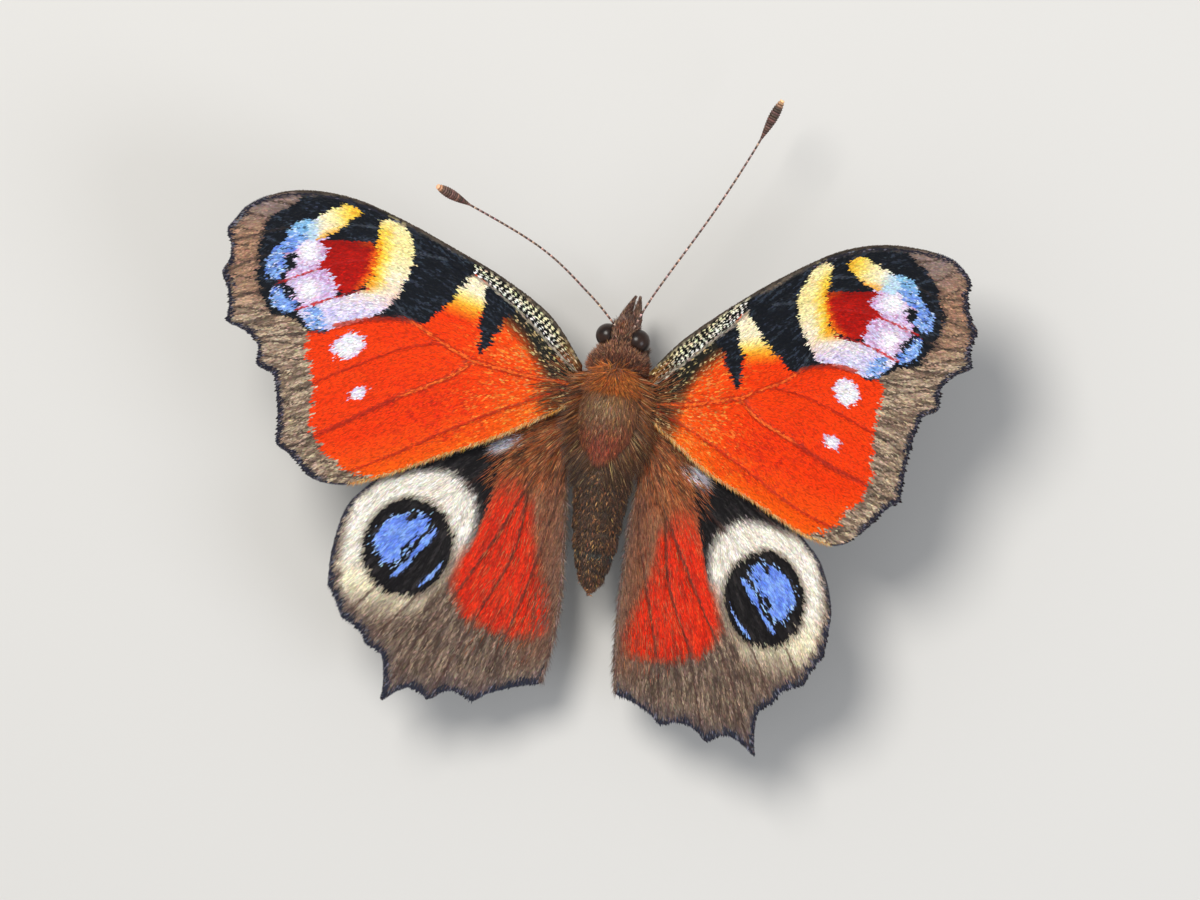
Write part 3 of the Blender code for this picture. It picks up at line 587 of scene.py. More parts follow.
def shield_coat():
    """Hair combed back over the shield, pale along its middle and reddish at its rear; the pale middle is in part pale
    hair, in part a painted highlight on the shield's top.
    """
    y, angle, rng = trunk_roots(SHIELD_HAIRS, -4.4, 2.9, 11, on_shield)
    x = np.cos(angle)
    lie = np.column_stack([-0.15 * x * np.clip(-y / 3, 0, 1) + 0.2 * x * np.clip(y / 3, 0, 1),
                           np.full(len(y), -1.0), 0.0 * x])
    lift = np.radians(13) * rng.uniform(0.6, 1.7, len(y))
    colours = trunk_colours(y, angle)
    # Pale flecks along the middle of the shield: in part pale hair, in part a painted highlight on the top of the
    # shield.
    middle = np.exp(-((x + 0.1) / 0.42) ** 2) * np.exp(-((y - 0.6) / 1.5) ** 2)
    colours = fleck(colours, rng, 0.45 * middle, (204, 180, 136))
    colours = fleck(colours, rng, 0.13, (208, 146, 86))
    colours = fleck(colours, rng, 0.13, (96, 64, 46))
    return trunk_tufts(y, angle, rng, lie, lift, rng.uniform(0.6, 1.05, len(y)), rng.uniform(0.05, 0.08, len(y)),
                       vary(colours, rng))


def behind_collar(y, angle):
    """The upper thorax up to the arched rear edge of the collar."""
    return (np.sin(angle) > -0.3) & (y < 3.4 - 0.9 * np.cos(angle) ** 2)


def ruff_coat():
    """Orange ruff behind the collar, fanning back over the shield and out to the wings."""
    y, angle, rng = trunk_roots(RUFF_HAIRS, 1.6, 3.45, 15, behind_collar)
    x = np.cos(angle)
    lie = np.column_stack([1.2 * x, -0.9 + 0.8 * np.clip((y - 2.5) / 0.7, 0, 1) + rng.normal(0, 0.25, len(y)), 0.0 * x])
    lift = np.radians(34) * rng.uniform(0.6, 1.4, len(y))
    colours = np.tile(np.array((196, 108, 44), float), (len(y), 1))
    colours = fleck(colours, rng, 0.3, (222, 138, 62))
    colours = fleck(colours, rng, 0.25 + 0.25 * np.abs(x), (112, 68, 38))
    return trunk_tufts(y, angle, rng, lie, lift, rng.uniform(0.75, 1.2, len(y)), rng.uniform(0.05, 0.08, len(y)),
                       vary(colours, rng), 0.2)


def side_coat():
    """Long hair from the flanks that spreads over the roots of the wings."""
    def flank(y, angle):
        return (shield_depth(y, 2.6 * np.cos(angle)) < 0.06) & (np.sin(angle) > 0.08)
    y, angle, rng = trunk_roots(SIDE_HAIRS, -5.2, 2.8, 16, flank)
    outward = np.sign(np.cos(angle))
    behind = np.clip((2.6 - y) / 7.4, 0, 1)
    lie = np.column_stack([outward * (1.0 - 0.45 * behind), -0.3 - 1.1 * behind, 0.2 - 0.1 * behind])
    lift = np.radians(6) * rng.uniform(-1.0, 2.2, len(y))
    colours = blend_keys(y, [(-5.0, (96, 68, 48)), (-2.0, (126, 80, 48)), (0.5, (160, 92, 44)), (2.8, (184, 100, 42))])
    colours = fleck(colours, rng, 0.34, (70, 50, 36))
    colours = fleck(colours, rng, 0.12, (216, 172, 118))
    length = rng.uniform(1.2, 2.4, len(y)) * (1 - 0.3 * np.clip((-y - 3) / 2, 0, 1))
    return trunk_tufts(y, angle, rng, lie, lift, length, rng.uniform(0.045, 0.07, len(y)), vary(colours, rng),
                       0.14, False)


def belly_coat():
    """Pale brown hair under the thorax, between the legs."""
    y, angle, rng = trunk_roots(BELLY_HAIRS, -4.6, 3.5, 17, lambda y, angle: np.sin(angle) < 0.12)
    x = np.cos(angle)
    lie = np.column_stack([0.35 * x, np.full(len(y), -1.0), 0.0 * x])
    lift = np.radians(16) * rng.uniform(0.6, 1.6, len(y))
    colours = fleck(trunk_colours(y, angle), rng, 0.2, (176, 140, 100))
    return trunk_tufts(y, angle, rng, lie, lift, rng.uniform(0.6, 1.0, len(y)), rng.uniform(0.06, 0.09, len(y)),
                       vary(colours, rng))


def collar_coat():
    """Short bristles that stand out and forward round the collar, darker at its rear with painted shade where it meets
    the ruff.
    """
    y, angle, rng = trunk_roots(COLLAR_HAIRS, 2.7, 5.1, 12, lambda y, angle: ~behind_collar(y, angle) & (y > 3.3 - 0.6 * (np.sin(angle) > 0)))
    x = np.cos(angle)
    lie = np.column_stack([0.5 * x, np.full(len(y), 0.8), 0.3 * np.sin(angle)])
    lift = np.radians(50) * rng.uniform(0.6, 1.3, len(y))
    rear = np.clip((4.1 - 0.9 * x * x - y) / 0.8, 0, 1)
    front = np.clip((y - 4.2 + 0.9 * x * x) / 0.4, 0, 1)
    # Dark red-brown bristles all round. The extra darkening towards the rear, and the near-black strip at the rear
    # edge, are painted shade where the collar meets the ruff.
    colours = lay(trunk_colours(y, angle), 0.35 + 0.35 * rear, (108, 56, 38))
    colours = lay(colours, 0.5 * np.clip((rear - 0.5) / 0.3, 0, 1), (58, 30, 22))
    colours = lay(colours, 0.5 * front, (158, 102, 72))
    colours = fleck(colours, rng, 0.14 + 0.4 * front, (212, 156, 116))
    colours = fleck(colours, rng, 0.26, (60, 38, 31))
    return trunk_tufts(y, angle, rng, lie, lift, rng.uniform(0.45, 0.8, len(y)), rng.uniform(0.045, 0.07, len(y)),
                       vary(colours, rng), 0.4)


def head_coat():
    """Short hair on the head, combed forward between the eyes, laid near-black at its rear as painted shadow in the gap
    by the collar.
    """
    y, angle, rng = trunk_roots(HEAD_HAIRS, 5.0, 6.85, 13)
    x = np.cos(angle)
    lie = np.column_stack([0.25 * x, np.full(len(y), 1.0), 0.1 * np.sin(angle)])
    lift = np.radians(28) * rng.uniform(0.5, 1.5, len(y))
    # Painted shadow: the hair at the head's rear, in the gap by the collar, is laid near-black.
    colours = lay(trunk_colours(y, angle), 0.8 * np.clip((5.6 - y) / 0.3, 0, 1), (42, 29, 25))
    colours = lay(colours, 0.6 * np.exp(-((y - 6.4) / 0.25) ** 2 - (x / 0.4) ** 2) * (np.sin(angle) > 0), (190, 96, 52))
    colours = fleck(colours, rng, 0.3, (206, 164, 132))
    colours = fleck(colours, rng, 0.25, (62, 42, 36))
    length = rng.uniform(0.35, 0.6, len(y)) + 0.55 * np.clip((y - 6.2) / 0.5, 0, 1)
    return trunk_tufts(y, angle, rng, lie, lift, length, rng.uniform(0.05, 0.08, len(y)), vary(colours, rng))


def abdomen_coat():
    """Close pile of short hair-scales on the abdomen, with gold and dark ones among them."""
    y, angle, rng = trunk_roots(ABDOMEN_HAIRS, -14.4, -3.7, 14)
    x = np.cos(angle)
    tip = np.clip((-12.6 - y) / 1.2, 0, 1)
    lie = np.column_stack([(0.1 + 1.0 * tip) * x, np.full(len(y), -1.0), (0.5 * tip) * np.sin(angle)])
    lift = np.radians(17 + 16 * tip) * rng.uniform(0.4, 1.8, len(y))
    colours = trunk_colours(y, angle)
    colours = fleck(colours, rng, 0.12, (212, 158, 98))
    colours = fleck(colours, rng, 0.16, (160, 104, 62))
    colours = fleck(colours, rng, 0.36, (52, 38, 31))
    taper = np.clip((y + 14.8) / 1.6, 0.4, 1)
    return trunk_tufts(y, angle, rng, lie, lift, rng.uniform(0.38, 0.62, len(y)) * taper,
                       rng.uniform(0.07, 0.1, len(y)), vary(colours, rng, 0.2), 0.4)


grow_coat("thorax_shield_hair", shield_coat(), HAIR, FUR_FINISH)
grow_coat("thorax_side_hair", join_roots(side_coat(), ruff_coat(), belly_coat()), HAIR, FUR_FINISH)
grow_coat("head_and_collar_hair", join_roots(collar_coat(), head_coat()), HAIR, FUR_FINISH)
grow_coat("abdomen_hair", abdomen_coat(), HAIR, FUR_FINISH)

# Eyes
# Each compound eye is a glossy dark dome of some thousand six-sided lenses. It is one body,
# seated in the side of the head, and every lens stands a little proud of its rim.
EYE_COLOUR = (49, 31, 23)
EYE_DARK = (24, 14, 11)
LENS_DEPTH = 0.009
EYE_SWELL = 1.1             # the lenses stand out from the plain solid
EYE_SINK = 0.35             # how far the flat back lies inside the head, as a share of the radius


def eye_finish():
    """Dark, wet-looking brown, mottled darker by noise."""
    finish, tree, shader = new_finish("compound eye")
    spot = add_node(tree, "ShaderNodeTexCoord")
    cloud = add_node(tree, "ShaderNodeTexNoise", {"Vector": spot.outputs["Object"], "Scale": 1400.0, "Detail": 2.0})
    ramp = add_node(tree, "ShaderNodeValToRGB", {"Fac": cloud.outputs["Fac"]})
    ramp.color_ramp.elements[0].color = opaque(EYE_DARK)
    ramp.color_ramp.elements[0].position = 0.35
    ramp.color_ramp.elements[1].color = opaque(EYE_COLOUR)
    ramp.color_ramp.elements[1].position = 0.62
    tree.links.new(ramp.outputs["Color"], shader.inputs["Base Color"])
    shader.inputs["Roughness"].default_value = 0.3
    shader.inputs["Specular IOR Level"].default_value = 0.3
    shader.inputs["Coat Weight"].default_value = 0.12
    shader.inputs["Coat Roughness"].default_value = 0.12
    return finish


def make_eye(side, finish):
    """A dome of lenses with the size and place of its solid."""
    low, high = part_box("eye_" + side)
    radius = (high.y - low.y) / 2 * EYE_SWELL
    centre = (low + high) / 2
    outward = -1 if side == "left" else 1
    outer = low.x if side == "left" else high.x
    centre.x = outer - outward * radius
    shape = bmesh.new()
    bmesh.ops.create_icosphere(shape, subdivisions=4, radius=radius)
    lenses = set(shape.verts)
    bmesh.ops.subdivide_edges(shape, edges=shape.edges[:], cuts=1, use_grid_fill=True)
    for vert in shape.verts:
        depth = 0.0 if vert in lenses else LENS_DEPTH * MM
        vert.co = vert.co.normalized() * (radius - depth)
    back = Vector((-outward * EYE_SINK * radius, 0, 0))
    everything = shape.verts[:] + shape.edges[:] + shape.faces[:]
    bmesh.ops.bisect_plane(shape, geom=everything, plane_co=back, plane_no=(-outward, 0, 0), clear_outer=True)
    rim = [edge for edge in shape.edges if edge.is_boundary]
    bmesh.ops.contextual_create(shape, geom=rim)
    bmesh.ops.translate(shape, vec=centre, verts=shape.verts)
    mesh = bpy.data.meshes.new("eye")
    shape.to_mesh(mesh)
    shape.free()
    eye = bpy.data.objects.new("compound_eye_" + side, mesh)
    bpy.context.scene.collection.objects.link(eye)
    face_outward(eye)
    eye.data.materials.append(finish)
    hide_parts("eye_" + side)
    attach(eye, "root")


EYE_FINISH = eye_finish()
for side in ("left", "right"):
    make_eye(side, EYE_FINISH)

# Palps
# Two bristly feelers point forward from under the face and meet in a snout. Each is a slim
# horny rod under close dark hair, flecked with paler hairs.
PALP_PATH = [(0.6, 6.1, -0.95), (0.52, 7.2, -0.8), (0.35, 8.1, -0.55), (0.21, 8.85, -0.33)]
PALP_RADII = (0.26, 0.26, 0.17, 0.05)
PALP_HEIGHT = 1.35
PALP_LEAN = 0.42            # both palps curve to the insect's right towards their tips
PALP_HAIRS = 3000
PALP_COLOURS = [(6.0, (118, 80, 62)), (7.4, (116, 82, 66)), (9.0, (96, 70, 60))]
HEAD_SWING = math.radians(3)
NECK = np.array((0.0, 4.9, 0.0))


def swing_head(points):
    """Turn points of the head about the neck, as the head is turned."""
    offset = np.asarray(points, float) - NECK
    c, s = math.cos(HEAD_SWING), math.sin(HEAD_SWING)
    return NECK + np.stack([offset[..., 0] * c + offset[..., 1] * s, offset[..., 1] * c - offset[..., 0] * s,
                            offset[..., 2]], axis=-1)


def smooth_curve(points, step=0.1):
    """Points along the Catmull-Rom curve through the given ones."""
    knots = np.array(points, dtype=float)
    padded = np.vstack([2 * knots[0] - knots[1], knots, 2 * knots[-1] - knots[-2]])
    curve = []
    for before, start, end, after in zip(padded, padded[1:], padded[2:], padded[3:]):
        count = max(1, math.ceil(np.linalg.norm(end - start) / step))
        for t in np.arange(count) / count:
            bend = 2 * before - 5 * start + 4 * end - after
            twist = 3 * start - before - 3 * end + after
            curve.append(start + 0.5 * t * ((end - before) + t * (bend + t * twist)))
    curve.append(knots[-1])
    return np.array(curve)


def spaced(curve, step):
    """The same curve read at even spacing, both ends kept."""
    along = np.concatenate([[0.0], np.cumsum(np.linalg.norm(np.diff(curve, axis=0), axis=1))])
    places = np.linspace(0.0, along[-1], max(1, round(along[-1] / step)) + 1)
    return np.array([np.interp(places, along, axis) for axis in curve.T]).T


def tube(path, radii, sides, depth=1.0):
    """Rings of points across a path, turned as little as possible from one to the next."""
    rise = np.array((0.0, 0.0, 1.0))
    path = np.asarray(path, float)
    ahead = unit(np.gradient(path, axis=0))
    rows = []
    for point, along, radius in zip(path, ahead, radii):
        if abs(along @ rise) > 0.99:
            rise = np.array((0.0, 1.0, 0.0))
        side = unit(np.cross(along, rise))
        rise = unit(np.cross(side, along))
        turn = np.arange(sides) * 2 * math.pi / sides
        rows.append(point + radius * (np.outer(np.cos(turn), side) + depth * np.outer(np.sin(turn), rise)))
    return np.array(rows)


def add_tube(name, path, radii, sides, depth=1.0):
    """A closed tube along a path."""
    rows = tube(path, radii, sides, depth)
    points = np.vstack([rows.reshape(-1, 3), [path[0], path[-1]]])
    piece = add_piece(name, place(points), rings_to_faces(len(rows), sides))
    face_outward(piece)
    return piece


def palp_roots(path, sign, rng):
    """Bristles all round one palp, combed forward and a little outward."""
    share = rng.uniform(0, 1, PALP_HAIRS) ** 0.9
    angle = rng.uniform(0, 2 * math.pi, PALP_HAIRS)
    index = np.minimum((share * (len(path) - 1)).astype(int), len(path) - 2)
    way = unit(path[index + 1] - path[index])
    side = unit(np.cross(way, (0.0, 0.0, 1.0)))
    over = np.cross(side, way)
    radius = np.interp(share, (0, 0.36, 0.68, 1), PALP_RADII)
    face = np.cos(angle)[:, None] * side + np.sin(angle)[:, None] * over
    at = path[index] + face * (radius * np.where(np.abs(np.sin(angle)) > 0.5, PALP_HEIGHT, 1))[:, None] * 0.85
    inner = np.clip(-sign * face[:, 0], 0, 1)
    lift = rng.uniform(0.05, 0.25, PALP_HAIRS) * (1.1 - 0.6 * share) + 0.75 * inner * np.clip(1.3 - 1.45 * share, 0, 1)
    lie = unit(way + face * lift[:, None] + rng.normal(0, 0.08, face.shape))
    length = rng.uniform(0.35, 0.7, PALP_HAIRS) * (1.15 - 0.6 * share)
    width = rng.uniform(0.045, 0.07, PALP_HAIRS) * (1 - 0.35 * share)
    colours = fleck(blend_keys(at[:, 1], PALP_COLOURS), rng, 0.25, (196, 158, 132))
    colours = fleck(colours, rng, 0.28, (60, 42, 38))
    return {"at": at, "lie": lie, "face": face, "size": np.column_stack([length, width, width]),
            "tint": vary(colours, rng), "unwrap": np.column_stack([0.02 + 0.96 * share, 0.02 + 0.15 * angle])}


PALP_SKIN = painted_finish("palp skin", 0.5)
for sign, side in ((-1, "left"), (1, "right")):
    path = spaced(smooth_curve([(sign * x, y, z) for x, y, z in PALP_PATH]), 0.12)
    share = np.linspace(0, 1, len(path))
    path = swing_head(path + np.outer(PALP_LEAN * share ** 1.4, (1, 0, 0)))
    radii = np.interp(share, (0, 0.36, 0.68, 1), PALP_RADII) * np.sqrt(np.clip(1 - (2 * share - 1) ** 10, 0.04, 1))
    palp = add_tube("palp_rod_" + side, path, radii, 16, PALP_HEIGHT)
    spots = (np.array([vert.co for vert in palp.data.vertices]) - ORIGIN) / MM
    set_tint(palp.data, blend_keys(spots[:, 1], PALP_COLOURS) * 0.6)
    palp.data.materials.append(PALP_SKIN)
    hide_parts("palp_" + side)
    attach(palp, "root")
    rng = np.random.default_rng(20 + sign)
    grow_coat("palp_hair_" + side, palp_roots(path, sign, rng), HAIR, FUR_FINISH)

# Tongue
# The drinking tube is rolled up like a watch spring between the palps. It is ringed horn,
# dark brown and glossy, and tapers to its tip.
TONGUE_CENTRE = (7.1, -2.75)
TONGUE_RADIUS = 0.88
TONGUE_PITCH = 0.34
TONGUE_TURNS = 2.2
TONGUE_START = math.radians(125)
TONGUE_FEED = (6.3, -1.2)
TONGUE_TUBE = 0.15
TONGUE_STEPS = 190

coil = np.arange(TONGUE_STEPS) / (TONGUE_STEPS - 1)
turned = 2 * math.pi * TONGUE_TURNS * coil
coil_radius = TONGUE_RADIUS - TONGUE_PITCH * turned / (2 * math.pi)
angle = TONGUE_START - turned
path = np.column_stack([np.zeros(TONGUE_STEPS), TONGUE_CENTRE[0] + coil_radius * np.cos(angle),
                        TONGUE_CENTRE[1] + coil_radius * np.sin(angle)])
feed = np.linspace((0.0, *TONGUE_FEED), path[0], 8)[:-1]
path = swing_head(np.vstack([feed, path]))
steps = np.arange(len(path))
taper = 1 - 0.55 * steps / len(path)
ribs = 1 + 0.07 * (steps % 2)
tongue = add_tube("tongue", path, TONGUE_TUBE * taper * ribs, 12, 1.25)
tongue_finish, tree, shader = new_finish("ringed horn")
spot = add_node(tree, "ShaderNodeTexCoord")
cloud = add_node(tree, "ShaderNodeTexNoise", {"Vector": spot.outputs["Object"], "Scale": 3000.0, "Detail": 3.0})
ramp = add_node(tree, "ShaderNodeValToRGB", {"Fac": cloud.outputs["Fac"]})
ramp.color_ramp.elements[0].color = opaque((38, 24, 18))
ramp.color_ramp.elements[1].color = opaque((104, 66, 42))
tree.links.new(ramp.outputs["Color"], shader.inputs["Base Color"])
shader.inputs["Roughness"].default_value = 0.32
tongue.data.materials.append(tongue_finish)
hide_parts("proboscis")
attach(tongue, "root")

# Antennae
# Each feeler is a string of some forty barrel-shaped joints, dark and pale in turn, that swell
# into a flat-tipped club with a cream end. The joints are threaded on one curved line.
FEELERS = {
    "left": [(-0.3, 6.2, 0.5), (-2.6, 8.65, 2.9), (-6.3, 11.7, 7.2), (-13.0, 14.9, 14.8)],
    "right": [(0.7, 6.1, 0.5), (2.1, 9.2, 1.0), (5.8, 16.0, 1.35), (8.3, 21.1, 1.8), (10.1, 25.5, 2.1)],
}
JOINT_LENGTH = 0.26
JOINT_OVERLAP = 1.12
FEELER_RADIUS = 0.088
CLUB_RADIUS = 0.42
CLUB_LENGTH = 3.5
FEELER_PALE = (178, 146, 132)
FEELER_DARK = (84, 60, 52)
CLUB_COLOUR = (84, 60, 50)
CLUB_TIP = (208, 166, 118)


def joint_template():
    """A barrel joint, narrow at its root, with its dark waist and pale rim stored as a mask."""
    profile = [(0.0, 0.72), (0.2, 0.9), (0.75, 1.0), (1.0, 0.84)]
    sides = 8
    points = [(x - 0.5, r * math.cos(2 * math.pi * k / sides), r * math.sin(2 * math.pi * k / sides))
              for x, r in profile for k in range(sides)]
    points += [(-0.5, 0, 0), (0.5, 0, 0)]
    piece = add_piece("joint_pattern", points, rings_to_faces(len(profile), sides))
    face_outward(piece)
    layer = piece.data.attributes.new("band", "FLOAT", "POINT")
    layer.data.foreach_set("value", np.array([point[0] + 0.5 for point in points], np.float32))
    return piece


def thread_tree():
    """Tree that threads one joint on each point of a line, along it and scaled by its girth."""
    group = bpy.data.node_groups.new("threaded joints", "GeometryNodeTree")
    face = group.interface
    face.new_socket(name="Line", in_out="INPUT", socket_type="NodeSocketGeometry")
    face.new_socket(name="Joint", in_out="INPUT", socket_type="NodeSocketObject")
    face.new_socket(name="Finish", in_out="INPUT", socket_type="NodeSocketMaterial")
    face.new_socket(name="Threaded", in_out="OUTPUT", socket_type="NodeSocketGeometry")
    given = add_node(group, "NodeGroupInput")
    joint = add_node(group, "GeometryNodeObjectInfo", {"Object": given.outputs["Joint"]})
    way = add_node(group, "GeometryNodeInputNamedAttribute", {"Name": "way"}, data_type="FLOAT_VECTOR")
    girth = add_node(group, "GeometryNodeInputNamedAttribute", {"Name": "girth"}, data_type="FLOAT_VECTOR")
    along = add_node(group, "FunctionNodeAlignRotationToVector", {"Vector": way.outputs["Attribute"]}, axis="X")
    placed = add_node(group, "GeometryNodeInstanceOnPoints",
                      {"Points": given.outputs["Line"], "Instance": joint.outputs["Geometry"],
                       "Rotation": along.outputs["Rotation"], "Scale": girth.outputs["Attribute"]})
    real = add_node(group, "GeometryNodeRealizeInstances", {"Geometry": placed.outputs["Instances"]})
    finished = add_node(group, "GeometryNodeSetMaterial",
                        {"Geometry": real.outputs["Geometry"], "Material": given.outputs["Finish"]})
    add_node(group, "NodeGroupOutput", {"Threaded": finished.outputs["Geometry"]})
    return group


def feeler_finish():
    """Tinted joints, dark at the root of each and pale at its rim."""
    finish, tree, shader = new_finish("banded feeler")
    tint = add_node(tree, "ShaderNodeAttribute", attribute_name="tint")
    band = add_node(tree, "ShaderNodeAttribute", attribute_name="band")
    spot = add_node(tree, "ShaderNodeTexCoord")
    speckle = add_node(tree, "ShaderNodeTexNoise", {"Vector": spot.outputs["Object"], "Scale": 9000.0, "Detail": 2.0})
    mixed = add_node(tree, "ShaderNodeMath", {0: band.outputs["Fac"], 1: speckle.outputs["Fac"]}, operation="MULTIPLY")
    gain = add_node(tree, "ShaderNodeMapRange", {"Value": mixed.outputs[0], "From Min": 0.28, "From Max": 0.42,
                                                 "To Min": 0.6, "To Max": 1.6})
    shaded = add_node(tree, "ShaderNodeVectorMath", {0: tint.outputs["Color"], "Scale": gain.outputs[0]},
                      operation="SCALE")
    tree.links.new(shaded.outputs[0], shader.inputs["Base Color"])
    relief = add_node(tree, "ShaderNodeBump", {"Height": speckle.outputs["Fac"], "Strength": 0.4, "Distance": 0.00002})
    tree.links.new(relief.outputs["Normal"], shader.inputs["Normal"])
    shader.inputs["Roughness"].default_value = 0.55
    return finish


def make_feeler(side, knots, joint, tree, finish):
    """One antenna: joints shorter and wider in the club."""
    curve = spaced(smooth_curve(knots), 0.02)
    to_tip = np.arange(len(curve))[::-1] * np.linalg.norm(curve[1] - curve[0])
    spots = []
    reach = to_tip[0]
    while reach > 0.1:
        spots.append(reach)
        reach -= JOINT_LENGTH if reach > CLUB_LENGTH else 0.8 * JOINT_LENGTH
    spots = np.array(spots)
    index = np.searchsorted(-to_tip, -spots)
    index = np.clip(index, 1, len(curve) - 2)
    line = curve[index]
    way = unit(curve[index + 1] - curve[index - 1])
    swell = np.clip(np.sin(math.pi * np.clip(spots / CLUB_LENGTH, 0, 1) ** 0.72), 0, 1) ** 1.1
    end = np.where(spots < 0.4 * CLUB_LENGTH, 0.13, FEELER_RADIUS)
    radius = end + (CLUB_RADIUS - end) * swell
    length = np.where(spots > CLUB_LENGTH, JOINT_LENGTH, 0.8 * JOINT_LENGTH) * JOINT_OVERLAP
    rng = np.random.default_rng(31 if side == "left" else 32)
    colours = np.where((np.arange(len(spots)) % 2 == 0)[:, None], FEELER_PALE, FEELER_DARK).astype(float)
    colours = lay(colours, np.clip((CLUB_LENGTH * 1.05 - spots) / 0.5, 0, 1), CLUB_COLOUR)
    colours = lay(colours, 0.55 * (np.arange(len(spots)) % 3 == 0) * (spots < CLUB_LENGTH), (150, 104, 94))
    colours = lay(colours, np.clip((0.6 - spots) / 0.4, 0, 1), CLUB_TIP)
    piece = add_piece("feeler_" + side, place(line), [])
    for label, values in (("way", way), ("girth", np.column_stack([length, radius, radius]) * MM)):
        layer = piece.data.attributes.new(label, "FLOAT_VECTOR", "POINT")
        layer.data.foreach_set("vector", np.ascontiguousarray(values, np.float32).ravel())
    set_tint(piece.data, vary(colours, rng, 0.08, 0.03))
    run_tree(piece, tree, {"Joint": joint, "Finish": finish})
    piece.data.shade_smooth()
    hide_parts("antenna_" + side)
    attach(piece, "root")


joint = joint_template()
threading = thread_tree()
feeler_material = feeler_finish()
for side, knots in FEELERS.items():
    make_feeler(side, knots, joint, threading, feeler_material)
bpy.data.objects.remove(joint)

# Legs
# Four walking legs stand on the table and two short brush legs are folded under the collar.
# Each walking leg has a hip, thigh, shin and a foot of five joints with two claws; each brush leg has two segments. All
# are of scaly horn.
LEGS = {
    "foreleg": [(0.85, 3.6, -1.6), (1.25, 4.9, -3.15), (1.05, 3.2, -3.95)],
    "midleg": [(1.0, 0.8, -1.8), (4.6, 2.3, -1.6), (7.6, 3.9, -5.0), (8.2, 4.3, -5.82), (10.6, 5.6, -5.82)],
    "hindleg": [(1.0, -1.4, -1.8), (4.2, -4.4, -1.7), (5.9, -8.6, -4.9), (6.15, -9.4, -5.82), (7.0, -12.3, -5.82)],
}
STANCE = 6.0
FOOT_JOINTS = 5
THIGH_RADII = (0.34, 0.42, 0.36, 0.24)
SHIN_RADII = (0.2, 0.22, 0.2, 0.21)
FOOT_RADIUS = 0.15
BRUSH_RADII = (0.22, 0.28, 0.22, 0.16)
LEG_DARK = (74, 54, 42)
LEG_PALE = (150, 118, 84)
LEG_SIDES = 12


def limb_segment(start, end, radii, rows=9):
    """Points and faces of one rounded segment, with its radius read between a few values."""
    start, end = np.asarray(start, float), np.asarray(end, float)
    share = (1 - np.cos(np.pi * np.linspace(0, 1, rows))) / 2
    ends = np.sqrt(np.clip(1 - (2 * np.linspace(0, 1, rows) - 1) ** 6, 0.02, 1))
    radius = np.interp(share, np.linspace(0, 1, len(radii)), radii) * ends
    path = start + (end - start) * share[:, None]
    points = np.vstack([tube(path, radius, LEG_SIDES).reshape(-1, 3), [start, end]])
    return points, rings_to_faces(rows, LEG_SIDES)


def join_bodies(bodies):
    """Points and faces of several closed bodies as one set."""
    points, faces, first = [], [], 0
    for body_points, body_faces in bodies:
        points.append(body_points)
        faces += [tuple(i + first for i in face) for face in body_faces]
        first += len(body_points)
    return np.vstack(points), faces


def claw(start, ahead, side):
    """A small hooked claw."""
    across = unit(np.cross(ahead, (0, 0, 1.0))) * side
    path = [start, start + ahead * 0.16 + across * 0.08 + (0, 0, 0.02), start + ahead * 0.3 + across * 0.12 - (0, 0, 0.06)]
    path = spaced(smooth_curve(path, 0.05), 0.06)
    radii = np.linspace(0.05, 0.012, len(path))
    points = np.vstack([tube(path, radii, 6).reshape(-1, 3), [path[0], path[-1]]])
    return points, rings_to_faces(len(path), 6)


def leg_bodies(kind, knots):
    """Every closed body of one leg, with the share of pale colour of each."""
    knots = [np.array(knot) for knot in knots]
    if kind == "foreleg":
        return [(limb_segment(knots[0], knots[1], BRUSH_RADII), 0.2),
                (limb_segment(knots[1], knots[2], BRUSH_RADII[::-1]), 0.4)]
    hip, knee, ankle, heel, toe = knots
    bodies = [(limb_segment(hip, knee, THIGH_RADII), 0.15), (limb_segment(knee, ankle, SHIN_RADII), 0.45)]
    low = -STANCE + FOOT_RADIUS
    heel = np.array((heel[0], heel[1], low))
    toe = np.array((toe[0], toe[1], low))
    bodies.append((limb_segment(ankle, heel, (0.19, 0.17, 0.15)), 0.5))
    way = toe - heel
    length = np.linalg.norm(way)
    ahead = way / length
    shares = np.array([0.0, 0.42, 0.6, 0.75, 0.87, 1.0]) * (length - 0.3) / length
    for i in range(FOOT_JOINTS):
        radii = (FOOT_RADIUS * 0.8, FOOT_RADIUS * 0.9, FOOT_RADIUS)
        start = heel + way * shares[i]
        end = heel + way * (shares[i + 1] + 0.012)
        bodies.append((limb_segment(start, end, radii, 7), 0.7))
    tip = heel + way * shares[-1]
    bodies += [(claw(tip, ahead, sign), 0.0) for sign in (-1, 1)]
    return bodies


def leg_roots(start, end, radius, count, length, rng, lift, colours, width):
    """Bristles round one segment, combed towards its end."""
    start, end = np.asarray(start, float), np.asarray(end, float)
    way = unit(end - start)
    side = unit(np.cross(way, (0.0, 0.0, 1.0)))
    over = np.cross(side, way)
    share = rng.uniform(0.03, 0.97, count)
    angle = rng.uniform(0, 2 * math.pi, count)
    face = np.outer(np.cos(angle), side) + np.outer(np.sin(angle), over)
    at = start + np.outer(share, end - start) + face * radius * 0.9
    lie = unit(way + face * lift + rng.normal(0, 0.12, (count, 3)))
    lengths = length * rng.uniform(0.7, 1.3, count)
    lie[:, 2] = np.maximum(lie[:, 2], (-STANCE + 0.03 - at[:, 2]) / lengths)
    tint = vary(np.tile(np.asarray(colours, float), (count, 1)), rng, 0.2)
    unwrap = np.column_stack([0.03 + 0.94 * share, 0.03 + 0.94 * angle / (2 * math.pi)])
    return {"at": at, "lie": unit(lie), "face": face, "size": np.column_stack([lengths, np.full(count, width),
                                                                              np.full(count, width)]),
            "tint": tint, "unwrap": unwrap}


